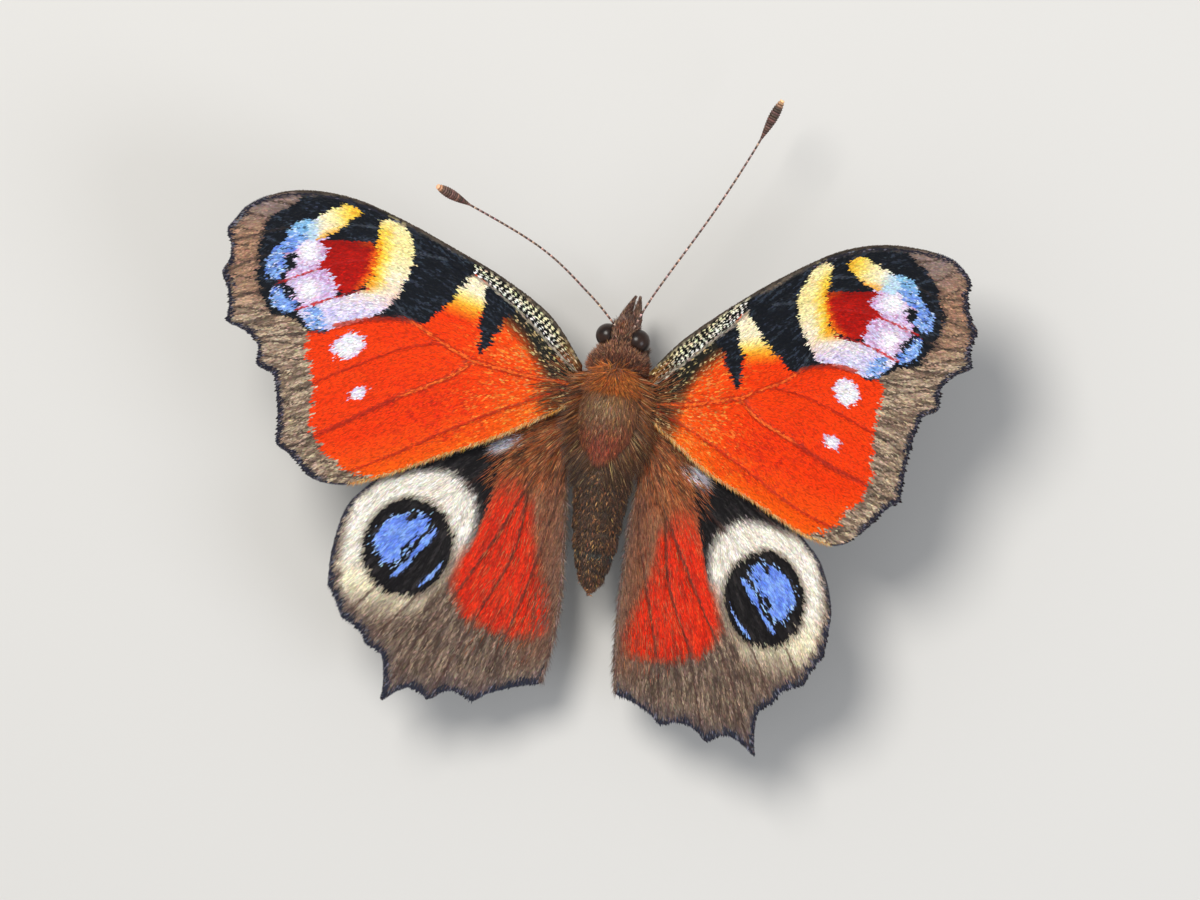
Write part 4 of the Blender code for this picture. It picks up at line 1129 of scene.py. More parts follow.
LEG_FINISH = painted_finish("scaly horn", 0.42, unevenness=0.5, grain=6000.0)
for number, (kind, knots) in enumerate(LEGS.items()):
    for sign, side in ((-1, "left"), (1, "right")):
        mirrored = [(sign * x, y, z) for x, y, z in knots]
        bodies = leg_bodies(kind, mirrored)
        points, faces = join_bodies([body for body, _ in bodies])
        points[:, 2] = np.maximum(points[:, 2], -STANCE)
        pale = np.concatenate([np.full(len(body[0]), share) for body, share in bodies])
        leg = add_piece(kind + "_horn_" + side, place(points), faces)
        face_outward(leg)
        set_tint(leg.data, lay(np.tile(np.array(LEG_DARK, float), (len(points), 1)), pale, LEG_PALE))
        leg.data.materials.append(LEG_FINISH)
        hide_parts(f"{kind}_{side}")
        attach(leg, "root")
        rng = np.random.default_rng(40 + 2 * number + (sign > 0))
        if kind == "foreleg":
            groups = [leg_roots(mirrored[i], mirrored[i + 1], 0.24, 420, 0.6, rng, 0.45, (112, 84, 64), 0.05)
                      for i in range(2)]
        else:
            groups = [leg_roots(mirrored[0], mirrored[1], 0.36, 700, 0.42, rng, 0.22, (104, 80, 58), 0.055),
                      leg_roots(mirrored[1], mirrored[2], 0.2, 520, 0.3, rng, 0.25, (124, 96, 68), 0.05),
                      leg_roots(mirrored[1], mirrored[2], 0.2, 26, 0.42, rng, 0.9, (44, 32, 26), 0.05),
                      leg_roots(mirrored[3], mirrored[4], 0.13, 60, 0.22, rng, 0.5, (52, 38, 30), 0.04)]
        grow_coat(f"{kind}_bristles_{side}", join_roots(*groups), HAIR, FUR_FINISH)

# Wings
# Each wing is a thin double membrane on stiff branching veins. The veins stand up as ridges
# on both faces, the membrane sags a little between them, and its edge follows the solid's.
WINGS = {
    "forewing": {"hinge": (2.7, 3.4, 0.8), "rise": math.radians(15)},
    "hindwing": {"hinge": (2.4, 0.4, -0.3), "rise": math.radians(14)},
}
MEMBRANE = 0.09             # thickness
EDGE_INSET = 0.1            # from the tips of the fringe to the membrane's edge
EDGE_STEP = 0.3
GRID_STEP = 0.34
VEIN_STEP = 0.45
VEIN_HEIGHT = 0.1
VEIN_WIDTH = 0.17
SAG = 0.05
SAG_REACH = 1.3

# Veins of the left wings, (outward, forward) of the hinge in the wing's own plane. The right
# wings carry the same ones, drawn through the change of shape between the pairs of landmarks.
FOREWING_VEINS = [
    [(0.4, -0.9), (2.7, 0.9), (5.3, 3.0), (7.9, 4.6), (11.6, 6.2), (15.4, 7.7), (20.0, 8.9), (25.4, 8.6)],
    [(0.9, -1.9), (4.6, -1.7), (8.4, -1.2), (11.0, -0.2), (13.5, 1.0), (15.8, 0.9), (17.5, 0.5), (19.2, -0.1),
     (21.2, -0.9), (26.3, -2.2)],
    [(8.4, -1.2), (10.0, -2.7), (13.6, -4.8), (17.5, -7.4), (21.9, -10.2)],
    [(11.0, -0.2), (14.1, -1.2), (18.1, -3.4), (21.3, -5.4), (22.8, -6.6)],
    [(1.2, -2.4), (5.8, -4.7), (10.1, -7.2), (12.9, -9.0), (17.3, -11.5)],
    [(14.4, 4.9), (17.2, 5.2), (20.0, 4.6), (23.8, 2.7), (25.3, 1.8), (27.9, 0.6)],
    [(13.5, 1.0), (15.6, 2.6), (18.0, 2.8), (20.0, 1.9), (22.2, 0.8), (25.0, -0.4), (27.0, -1.2)],
    [(11.6, 6.2), (14.4, 6.4), (17.6, 6.6), (22.0, 5.6), (25.5, 4.4), (28.2, 2.9)],
    [(15.4, 7.7), (18.6, 7.8), (22.4, 7.4), (28.2, 5.2)],
]
HINDWING_VEINS = [
    [(1.0, -1.2), (5.0, -3.1), (9.5, -5.2), (13.4, -8.0), (16.6, -12.0)],
    [(1.0, -2.0), (4.2, -4.4), (7.6, -7.4), (11.0, -10.0), (14.6, -13.6), (17.0, -16.4)],
    [(7.6, -7.4), (9.6, -11.6), (13.0, -15.6), (15.6, -18.9)],
    [(7.6, -7.4), (8.2, -11.0), (10.4, -16.5), (13.5, -20.6)],
    [(1.0, -3.0), (3.2, -7.0), (5.4, -12.0), (8.0, -17.0), (10.4, -21.0), (11.9, -24.6)],
    [(3.2, -7.0), (3.6, -12.4), (5.6, -17.5), (8.2, -23.9)],
    [(0.6, -3.6), (1.2, -9.5), (2.6, -16.5), (4.7, -23.4)],
]
# The same places on the left and on the right wing: teeth, forks of veins and markings.
FOREWING_LANDMARKS = [
    ((0.0, -0.1), (0.0, 0.1)), ((3.0, 3.2), (2.6, 3.0)), ((5.0, 4.4), (4.4, 4.6)), ((9.6, 6.6), (7.8, 7.1)),
    ((13.0, 7.9), (10.8, 9.2)), ((16.6, 9.1), (13.8, 10.9)), ((19.7, 9.9), (16.5, 11.8)), ((23.4, 9.9), (20.0, 12.4)),
    ((27.2, 8.3), (24.0, 11.9)), ((28.7, 6.0), (26.0, 10.3)), ((28.6, 2.7), (27.3, 6.6)), ((27.7, -1.0), (27.3, 3.7)),
    ((24.9, -4.0), (25.0, 0.2)), ((22.5, -9.8), (22.8, -7.1)), ((19.5, -12.0), (20.7, -9.1)),
    ((17.3, -12.3), (18.3, -11.1)), ((9.7, -9.0), (10.0, -8.8)), ((1.9, -4.6), (2.6, -5.2)), ((1.1, -1.7), (1.2, -2.3)),
    ((8.4, -1.2), (8.1, -1.1)), ((11.0, -0.2), (10.4, 0.2)), ((18.1, -1.5), (17.0, 0.6)), ((16.8, -5.0), (16.4, -3.4)),
    ((7.9, -0.6), (7.6, -0.3)), ((9.4, 5.6), (7.4, 6.2)), ((9.6, 5.2), (7.8, 5.3)), ((8.2, 4.7), (6.8, 4.4)),
    ((5.6, 3.1), (5.2, 3.1)), ((11.2, 2.4), (11.1, 2.2)), ((16.6, 8.7), (13.8, 10.0)), ((14.1, 6.1), (11.7, 6.5)),
    ((17.1, 6.6), (14.2, 7.9)), ((21.4, 6.2), (18.3, 8.5)), ((19.0, 2.5), (17.2, 4.7)), ((20.6, -0.6), (18.9, 2.0)),
    ((22.2, 0.6), (20.6, 3.4)), ((19.6, 9.2), (16.2, 10.8)), ((25.3, 4.0), (23.4, 7.2)), ((24.4, 2.5), (22.7, 5.7)),
    ((22.6, 7.6), (20.2, 10.0)), ((15.3, 2.1), (13.6, 3.1)), ((26.0, 4.8), (24.1, 7.6)), ((25.8, 7.0), (23.4, 9.3)),
    ((24.9, 0.7), (23.0, 3.8)),
]
HINDWING_LANDMARKS = [
    ((0.9, -0.1), (1.2, -0.4)), ((7.0, -2.4), (7.3, -3.0)), ((13.4, -6.5), (13.4, -6.6)), ((17.0, -10.9), (17.2, -9.9)),
    ((17.6, -14.3), (18.5, -13.1)), ((17.5, -16.9), (18.4, -16.6)), ((16.1, -19.3), (17.0, -19.1)),
    ((13.9, -21.0), (14.6, -20.8)), ((12.1, -25.3), (13.7, -25.2)), ((8.4, -24.6), (9.3, -24.6)),
    ((5.1, -24.3), (5.2, -23.9)), ((0.0, -22.1), (1.0, -22.0)), ((-0.7, -15.5), (0.2, -16.4)), ((0.0, -6.2), (0.0, -7.1)),
    ((5.3, -4.3), (5.2, -4.8)), ((15.3, -13.1), (16.2, -12.6)), ((8.45, -12.6), (9.2, -12.6)),
    ((11.6, -17.0), (13.0, -16.6)), ((14.4, -13.1), (15.2, -12.7)), ((12.4, -15.4), (13.7, -15.4)),
    ((9.0, -14.1), (10.0, -14.3)), ((10.5, -16.1), (11.8, -16.1)), ((9.9, -11.8), (10.8, -12.0)),
    ((11.6, -10.4), (12.2, -10.3)), ((7.2, -17.2), (8.6, -17.5)), ((6.5, -10.4), (7.2, -10.9)),
    ((3.6, -18.7), (4.7, -18.9)),
]
STIFFNESS = 1.0             # how far the change of shape may miss single landmarks to stay smooth


def shape_terms(points):
    """Terms of a smooth surface."""
    u, v = np.asarray(points, dtype=float).T
    return np.column_stack([np.ones_like(u), u, v, u * u, u * v, v * v])


def sheet_terms(points, knots):
    """Terms of a thin sheet bent by its knots."""
    gap = np.linalg.norm(points[:, None] - knots[None], axis=2)
    return np.column_stack([gap ** 2 * np.log(np.maximum(gap, 1e-9)), np.ones(len(points)), points])


def shape_change(source, target):
    """Smooth map that carries one set of landmarks onto another, as a drawing on a rubber sheet is stretched."""
    knots = np.array(source, float)
    count = len(knots)
    terms = sheet_terms(knots, knots)
    system = np.zeros((count + 3, count + 3))
    system[:count] = terms
    system[count:, :count] = terms[:, count:].T
    system[:count, :count] += STIFFNESS * np.eye(count)
    factors = np.linalg.solve(system, np.vstack([target, np.zeros((3, 2))]))
    return lambda points: sheet_terms(np.asarray(points, float), knots) @ factors


def track(points, starts, ends):
    """Distance from each point to the nearest of many short lines, which line, and how far along it."""
    run = ends - starts
    length = np.maximum(np.sum(run * run, axis=1), 1e-12)
    gaps, nearest, shares = [], [], []
    for part in np.array_split(points, max(1, len(points) // 3000)):
        offset = part[:, None, :] - starts[None]
        share = np.clip(np.sum(offset * run, axis=2) / length, 0, 1)
        gap = np.linalg.norm(offset - share[..., None] * run, axis=2)
        best = np.argmin(gap, axis=1)
        rows = np.arange(len(part))
        gaps.append(gap[rows, best])
        nearest.append(best)
        shares.append(share[rows, best])
    return np.concatenate(gaps), np.concatenate(nearest), np.concatenate(shares)


def inside(points, loop):
    """Which points lie inside a closed loop."""
    starts, ends = loop, np.roll(loop, -1, axis=0)
    rise = np.where(ends[:, 1] == starts[:, 1], 1e-9, ends[:, 1] - starts[:, 1])
    found = []
    for part in np.array_split(points, max(1, len(points) // 3000)):
        x, y = part[:, :1], part[:, 1:]
        spans = (starts[:, 1] > y) != (ends[:, 1] > y)
        crossing = (ends[:, 0] - starts[:, 0]) * (y - starts[:, 1]) / rise + starts[:, 0]
        found.append(np.sum(spans & (x < crossing), axis=1) % 2 == 1)
    return np.concatenate(found)


FAR = 1.5                   # beyond this, places count as simply outside a marking


def depth_in(points, loop):
    """Distance to a closed loop, positive inside it and negative outside."""
    close = np.all((points > loop.min(axis=0) - FAR) & (points < loop.max(axis=0) + FAR), axis=1)
    depth = np.full(len(points), -FAR)
    if close.any():
        gap = track(points[close], loop, np.roll(loop, -1, axis=0))[0]
        depth[close] = np.where(inside(points[close], loop), gap, -gap)
    return depth


def wing_loop(node, wing):
    """The solid wing's edge, in wing coordinates, read from where its upper face ends."""
    shape = merged_copy([node])
    shape.normal_update()
    upward = Vector(wing["upward"])

    def faces_up(face):
        return face.normal.dot(upward) > 0.55

    neighbours = {}
    for edge in shape.edges:
        if len(edge.link_faces) == 2 and faces_up(edge.link_faces[0]) != faces_up(edge.link_faces[1]):
            first, second = edge.verts
            neighbours.setdefault(first.index, []).append(second.index)
            neighbours.setdefault(second.index, []).append(first.index)
    shape.verts.ensure_lookup_table()
    loops, unseen = [], set(neighbours)
    while unseen:
        here = min(unseen)
        loop = []
        while here is not None:
            unseen.discard(here)
            loop.append(here)
            here = next((other for other in neighbours[here] if other in unseen), None)
        loops.append(loop)
    longest = max(loops, key=len)
    corners = to_wing(np.array([shape.verts[i].co for i in longest]), wing)[:, :2]
    every = to_wing(np.array([vert.co for vert in shape.verts]), wing)
    shape.free()
    twice_area = np.sum(corners[:, 0] * np.roll(corners[:, 1], -1) - corners[:, 1] * np.roll(corners[:, 0], -1))
    return corners if twice_area > 0 else corners[::-1], every


def to_wing(points, wing):
    """Scene metres to (outward, forward, upward) millimetres of a wing's hinge."""
    offset = (points - ORIGIN) / MM - wing["hinge"]
    return np.stack([offset @ wing["outward"], offset @ wing["ahead"], offset @ wing["upward"]], axis=-1)


def from_wing(spots, heights, wing):
    """Wing coordinates back to body millimetres."""
    return (wing["hinge"] + np.outer(spots[:, 0], wing["outward"]) + np.outer(spots[:, 1], wing["ahead"])
            + np.outer(heights, wing["upward"]))


def even_loop(corners, step):
    """A closed outline eased through its corners and read at even spacing."""
    wrapped = np.vstack([corners[-2:], corners, corners[:2]])
    curve = smooth_curve(wrapped, 0.1)
    first = np.argmin(np.linalg.norm(curve - corners[0], axis=1))
    last = len(curve) - 1 - np.argmin(np.linalg.norm(curve[::-1] - corners[0], axis=1))
    return spaced(curve[first:last + 1], step)[:-1]


def outward_of(loop):
    """Outward directions along a counter-clockwise loop."""
    along = unit(np.roll(loop, -1, axis=0) - np.roll(loop, 1, axis=0))
    return np.column_stack([along[:, 1], -along[:, 0]])


def wing_height(spots, wing):
    """Height of the membrane's middle: the solid's bow, ridges on the veins, a slight sag between."""
    gap = track(spots, wing["starts"], wing["ends"])[0]
    fade = np.clip((29 - spots[:, 0]) / 26, 0.35, 1) * np.clip((spots[:, 1] + 28) / 20, 0.45, 1)
    ridge = VEIN_HEIGHT * fade * np.exp(-(gap / VEIN_WIDTH) ** 2)
    return shape_terms(spots) @ wing["bow"] + ridge - SAG * (1 - np.exp(-(gap / SAG_REACH) ** 2))


def make_wing_frame(kind, side):
    """Hinge, axes, edge, bow and veins of one wing."""
    sign = -1 if side == "left" else 1
    x, y, z = WINGS[kind]["hinge"]
    rise = WINGS[kind]["rise"]
    wing = {"kind": kind, "side": side, "hinge": np.array((sign * x, y, z)),
            "outward": np.array((sign * math.cos(rise), 0.0, math.sin(rise))),
            "ahead": np.array((0.0, 1.0, 0.0)),
            "upward": np.array((-sign * math.sin(rise), 0.0, math.cos(rise)))}
    corners, every = wing_loop(f"{kind}_{side}", wing)
    wing["tips"] = even_loop(corners, EDGE_STEP)
    wing["edge"] = wing["tips"] - outward_of(wing["tips"]) * EDGE_INSET
    wing["bow"] = np.linalg.lstsq(shape_terms(every[:, :2]), every[:, 2], rcond=None)[0]
    landmarks = FOREWING_LANDMARKS if kind == "forewing" else HINDWING_LANDMARKS
    veins = FOREWING_VEINS if kind == "forewing" else HINDWING_VEINS
    if side == "left":
        wing["to_left"] = lambda spots: spots
        own = [np.array(vein) for vein in veins]
    else:
        lefts, rights = [pair[0] for pair in landmarks], [pair[1] for pair in landmarks]
        wing["to_left"] = shape_change(rights, lefts)
        carry = shape_change(lefts, rights)
        own = [carry(vein) for vein in veins]
    lines = [spaced(smooth_curve(vein), VEIN_STEP) for vein in own]
    lines = [line[depth_in(line, wing["edge"]) > 0.05] for line in lines]
    wing["lines"] = lines
    wing["starts"] = np.vstack([line[:-1] for line in lines])
    wing["ends"] = np.vstack([line[1:] for line in lines])
    return wing


def keep_apart(points, taken, gap):
    """Those points that keep a gap to every one already taken."""
    near = track(points, taken, taken)[0] < gap
    return points[~near]


def membrane_piece(wing, paint_top, paint_under, finish):
    """Closed double membrane with the markings on both faces."""
    edge = wing["edge"]
    ridge = spaced_rows([line for line in wing["lines"]])
    low, high = edge.min(axis=0), edge.max(axis=0)
    rows = np.arange(low[1], high[1], GRID_STEP * 0.87)
    grid = np.array([(u + (k % 2) * GRID_STEP / 2, v) for k, v in enumerate(rows)
                     for u in np.arange(low[0], high[0], GRID_STEP)])
    grid = grid[depth_in(grid, edge) > 0.6 * GRID_STEP]
    ridge = ridge[depth_in(ridge, edge) > 0.1]
    grid = keep_apart(grid, ridge, 0.12)
    spots = np.vstack([edge, ridge, grid])
    links = [(i, (i + 1) % len(edge)) for i in range(len(edge))]
    made = delaunay_2d_cdt([Vector(spot) for spot in spots], links, [], 1, 0.003)
    corners = np.array([tuple(point) for point in made[0]])
    triangles = np.array([tuple(face) for face in made[2]])
    triangles = triangles[inside(corners[triangles].mean(axis=1), edge)]
    height = wing_height(corners, wing)
    count = len(corners)
    top = from_wing(corners, height + MEMBRANE / 2, wing)
    under = from_wing(corners, height - MEMBRANE / 2, wing)
    faces = [tuple(face) for face in triangles] + [tuple(face[::-1] + count) for face in triangles]
    rim = {}
    for face in triangles:
        for a, b in zip(face, np.roll(face, -1)):
            if rim.pop((b, a), None) is None:
                rim[(a, b)] = True
    faces += [(b, a, a + count, b + count) for a, b in rim]
    piece = add_piece(f"{wing['kind']}_membrane_{wing['side']}", place(np.vstack([top, under])), faces)
    loose = bmesh.new()
    loose.from_mesh(piece.data)
    bmesh.ops.delete(loose, geom=[vert for vert in loose.verts if not vert.link_faces], context="VERTS")
    kept = loose
    kept.to_mesh(piece.data)
    kept.free()
    face_outward(piece)
    spots = to_wing(np.array([vert.co for vert in piece.data.vertices]), wing)
    middle = wing_height(spots[:, :2], wing)
    left = wing["to_left"](spots[:, :2])
    colours = np.where((spots[:, 2] > middle)[:, None], paint_top(left, wing), paint_under(left, wing))
    set_tint(piece.data, colours * 0.85)
    piece.data.materials.append(finish)
    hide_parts(f"{wing['kind']}_{wing['side']}")
    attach(piece, "root")


def spaced_rows(lines):
    """Points along the crest and both feet of every vein."""
    rows = []
    for line in lines:
        along = unit(np.gradient(line, axis=0))
        across = np.column_stack([-along[:, 1], along[:, 0]])
        rows += [line, line + across * VEIN_WIDTH, line - across * VEIN_WIDTH]
    every = np.vstack(rows)
    kept = [every[0]]
    for spot in every[1:]:
        if np.min(np.linalg.norm(np.array(kept) - spot, axis=1)) > 0.1:
            kept.append(spot)
    return np.array(kept)


# Markings of the wings
# The colours come from the scales: each one has a single colour, and the ragged edges of the
# markings are where scales of two colours mix. The outlines below are those of the left wings.


def hashed(x, y, seed):
    """Even random numbers, 0 to 1, for whole-numbered places."""
    value = np.sin(x * 127.1 + y * 311.7 + seed * 74.7) * 43758.5453
    return value - np.floor(value)


def mottle(x, y, seed):
    """Smooth noise, 0 to 1, with bumps one unit across."""
    left, low = np.floor(x), np.floor(y)
    a, b = x - left, y - low
    a, b = a * a * (3 - 2 * a), b * b * (3 - 2 * b)
    bottom = hashed(left, low, seed) * (1 - a) + hashed(left + 1, low, seed) * a
    top = hashed(left, low + 1, seed) * (1 - a) + hashed(left + 1, low + 1, seed) * a
    return bottom * (1 - b) + top * b


def streaks(spots, seed, fine=0.2, long=1.6, root=(-1.5, -2.0)):
    """Noise drawn out into fine lines that run from the wing's root to its edge."""
    u, v = spots[:, 0] - root[0], spots[:, 1] - root[1]
    reach = np.hypot(u, v)
    sweep = np.arctan2(v, u) * 16.0
    return mottle(sweep / fine, reach / long, seed)


def soft(depth, width):
    """Cover that rises from 0 to 1 over a width round the edge of a marking."""
    return np.clip(0.5 + depth / width, 0, 1)


def closed(points):
    """A smooth closed outline through a few points."""
    return even_loop(np.array(points, float), 0.25)


BORDER = (145, 124, 105)
BORDER_PALE = (203, 181, 154)
BORDER_DARK = (88, 72, 61)
APEX = (134, 114, 112)
APEX_WARM = (168, 112, 84)
EDGE_DARK = (36, 36, 48)
RED = (237, 56, 5)
ORANGE = (247, 98, 8)
BLACK = (18, 22, 29)
BLACK_STREAK = (52, 61, 75)
CREAM = (249, 236, 198)
YELLOW = (250, 204, 66)
AMBER = (244, 148, 20)
EYE_RED = (166, 16, 9)
VIOLET_WHITE = (212, 198, 232)
BLUE = (90, 124, 214)
PALE_BLUE = (140, 182, 236)
WHITE = (238, 237, 243)

APICAL_BLACK = closed([
    (9.5, 5.2), (8.7, 6.0), (9.4, 8.6), (13.0, 10.2), (18.0, 11.4), (22.4, 10.6), (23.4, 9.2), (24.3, 8.4), (25.7, 7.1), (26.0, 5.4), (26.0, 3.8),
    (25.8, 2.5), (25.4, 1.6), (24.9, 0.7), (24.2, 0.1), (22.9, 0.0), (21.8, -0.5), (20.4, -0.9), (19.0, -0.1),
    (17.5, 0.5), (15.8, 0.9), (13.6, 1.0), (12.3, 1.2), (11.5, 2.1), (10.5, 3.4), (9.7, 4.6),
])
RED_FIELD_EDGE = smooth_curve([
    (21.0, -0.4), (21.4, -1.4), (21.2, -2.6), (20.7, -3.8), (20.3, -5.3), (20.1, -6.8), (20.0, -8.0), (19.3, -9.0),
    (18.6, -10.0), (17.6, -10.7), (16.7, -11.1), (15.3, -11.2), (14.0, -11.6),
])
CRESCENT = closed([
    (16.6, 8.7), (15.9, 8.65), (15.0, 8.1), (14.4, 7.2), (14.1, 6.1), (14.3, 4.6), (14.9, 2.9), (15.7, 1.6), (17.1, 0.7),
    (18.6, 0.0), (20.1, -0.6), (21.3, -0.5), (22.2, 0.3), (22.1, 0.8), (20.0, 1.9), (18.6, 2.4), (17.4, 3.2), (17.0, 4.7),
    (16.9, 6.4), (17.0, 7.5), (16.9, 8.4),
])
EYE_CENTRE_RED = closed([
    (21.4, 6.2), (19.2, 6.5), (17.1, 6.6), (17.0, 4.8), (17.5, 3.4), (19.0, 2.5), (19.8, 3.0), (20.3, 3.9), (21.3, 4.3),
    (20.6, 5.4),
])
VIOLET_FIELD = closed([
    (21.2, 6.7), (20.7, 6.2), (20.0, 4.8), (19.4, 2.7), (20.4, 1.7), (22.2, 0.8), (23.2, 1.0), (23.7, 2.0), (23.6, 3.2),
    (23.9, 4.2), (23.7, 5.3), (23.0, 6.3),
])
YELLOW_BAR = closed([
    (20.1, 9.2), (19.2, 9.2), (18.7, 8.7), (19.6, 7.8), (20.6, 6.8), (21.4, 6.3), (22.3, 6.1), (22.6, 6.9), (22.2, 7.6),
    (21.3, 8.4),
])
BLUE_BAND = closed([
    (22.1, 7.6), (22.9, 7.6), (23.9, 6.8), (24.0, 6.1), (24.7, 5.2), (25.3, 4.0), (25.1, 3.0), (24.4, 2.6), (24.0, 3.2),
    (23.6, 3.7), (23.9, 4.4), (23.8, 4.9), (23.2, 5.2), (22.7, 6.0), (22.2, 6.5),
])
BLUE_SPOT = closed([(24.6, 2.1), (23.8, 2.2), (23.0, 1.6), (22.5, 1.0), (22.6, 0.5), (23.4, 0.4), (24.5, 1.2)])
BLUE_FOOT = closed([(22.0, 0.6), (21.0, 1.0), (20.3, 0.4), (20.1, -0.4), (20.8, -0.8), (21.6, -0.3)])
BLACK_SPOT = closed([(23.7, 4.8), (23.2, 4.9), (23.0, 4.3), (23.2, 3.7), (23.6, 3.6), (23.9, 4.2)])
BLACK_STIPPLE = closed([(24.1, 2.6), (23.5, 2.5), (22.8, 1.9), (22.2, 1.1), (22.6, 0.9), (23.3, 1.5)])
CREAM_BAR = closed([(9.6, 5.2), (8.2, 4.7), (8.15, 3.6), (8.3, 2.6), (8.8, 1.7), (10.0, 1.4), (11.3, 1.6), (11.2, 2.4), (10.4, 3.6)])
BLACK_WEDGE = closed([
    (8.1, 4.9), (6.8, 4.2), (5.6, 3.1), (6.3, 2.5), (6.8, 1.2), (7.3, 0.1), (7.95, -0.7), (8.15, 0.3), (8.25, 1.6),
    (8.2, 3.2),
])
EYE_FIELD = closed([
    (16.9, 6.6), (17.0, 4.6), (17.6, 3.2), (20.0, 1.8), (22.2, 0.3), (23.6, 0.4), (24.8, 1.6), (25.4, 3.6), (24.6, 5.4),
    (23.4, 7.4), (20.0, 9.3), (18.6, 8.7), (20.0, 7.0),
])
STRIPED_BAND = closed([
    (9.4, 5.6), (9.0, 6.6), (7.2, 6.4), (4.0, 4.6), (1.6, 2.6), (-0.3, 0.4), (0.4, -0.4), (1.6, -0.2), (2.7, 0.9),
    (5.3, 3.1), (7.9, 4.7),
])
SUBCOSTAL = smooth_curve([(0.4, -0.9), (2.7, 0.9), (5.3, 3.0), (7.9, 4.6), (10.4, 5.8)])
COSTAL_LINE = smooth_curve([(0.0, 0.5), (2.9, 3.2), (7.2, 5.8), (11.1, 7.3), (15.4, 8.9), (19.7, 10.0), (23.6, 9.8)])
STRIPE_LENGTH = 0.47
BORDER_ROOT = (-20.0, 18.0)   # where the lines of the border would meet
WHITE_DOTS = [((18.1, -1.5), (1.4, 0.95), -36), ((16.75, -5.0), (0.74, 0.44), -38)]
CUBITUS = smooth_curve([(0.9, -1.9), (4.6, -1.7), (8.4, -1.2), (11.0, -0.2), (13.5, 1.0), (15.8, 0.9), (17.5, 0.5),
                        (19.2, -0.1)])
LOWER_BRANCH = smooth_curve([(8.4, -1.2), (10.0, -2.7), (13.6, -4.8), (17.5, -7.4), (20.4, -9.2)])
EYE_LINES = [smooth_curve([(17.6, 5.3), (20.0, 4.6), (23.8, 2.7), (24.2, 2.45)]),
             smooth_curve([(17.2, 3.1), (20.0, 1.9), (22.2, 0.8), (22.5, 0.65)])]


def near(spots, line):
    """Distance to an open line."""
    return track(spots, line[:-1], line[1:])[0]


def in_ellipse(spots, centre, axes, degrees):
    """Rough distance inside an ellipse, in millimetres."""
    turn = math.radians(degrees)
    u, v = (spots - centre).T
    along, across = u * math.cos(turn) + v * math.sin(turn), v * math.cos(turn) - u * math.sin(turn)
    return (1 - np.hypot(along / axes[0], across / axes[1])) * min(axes)


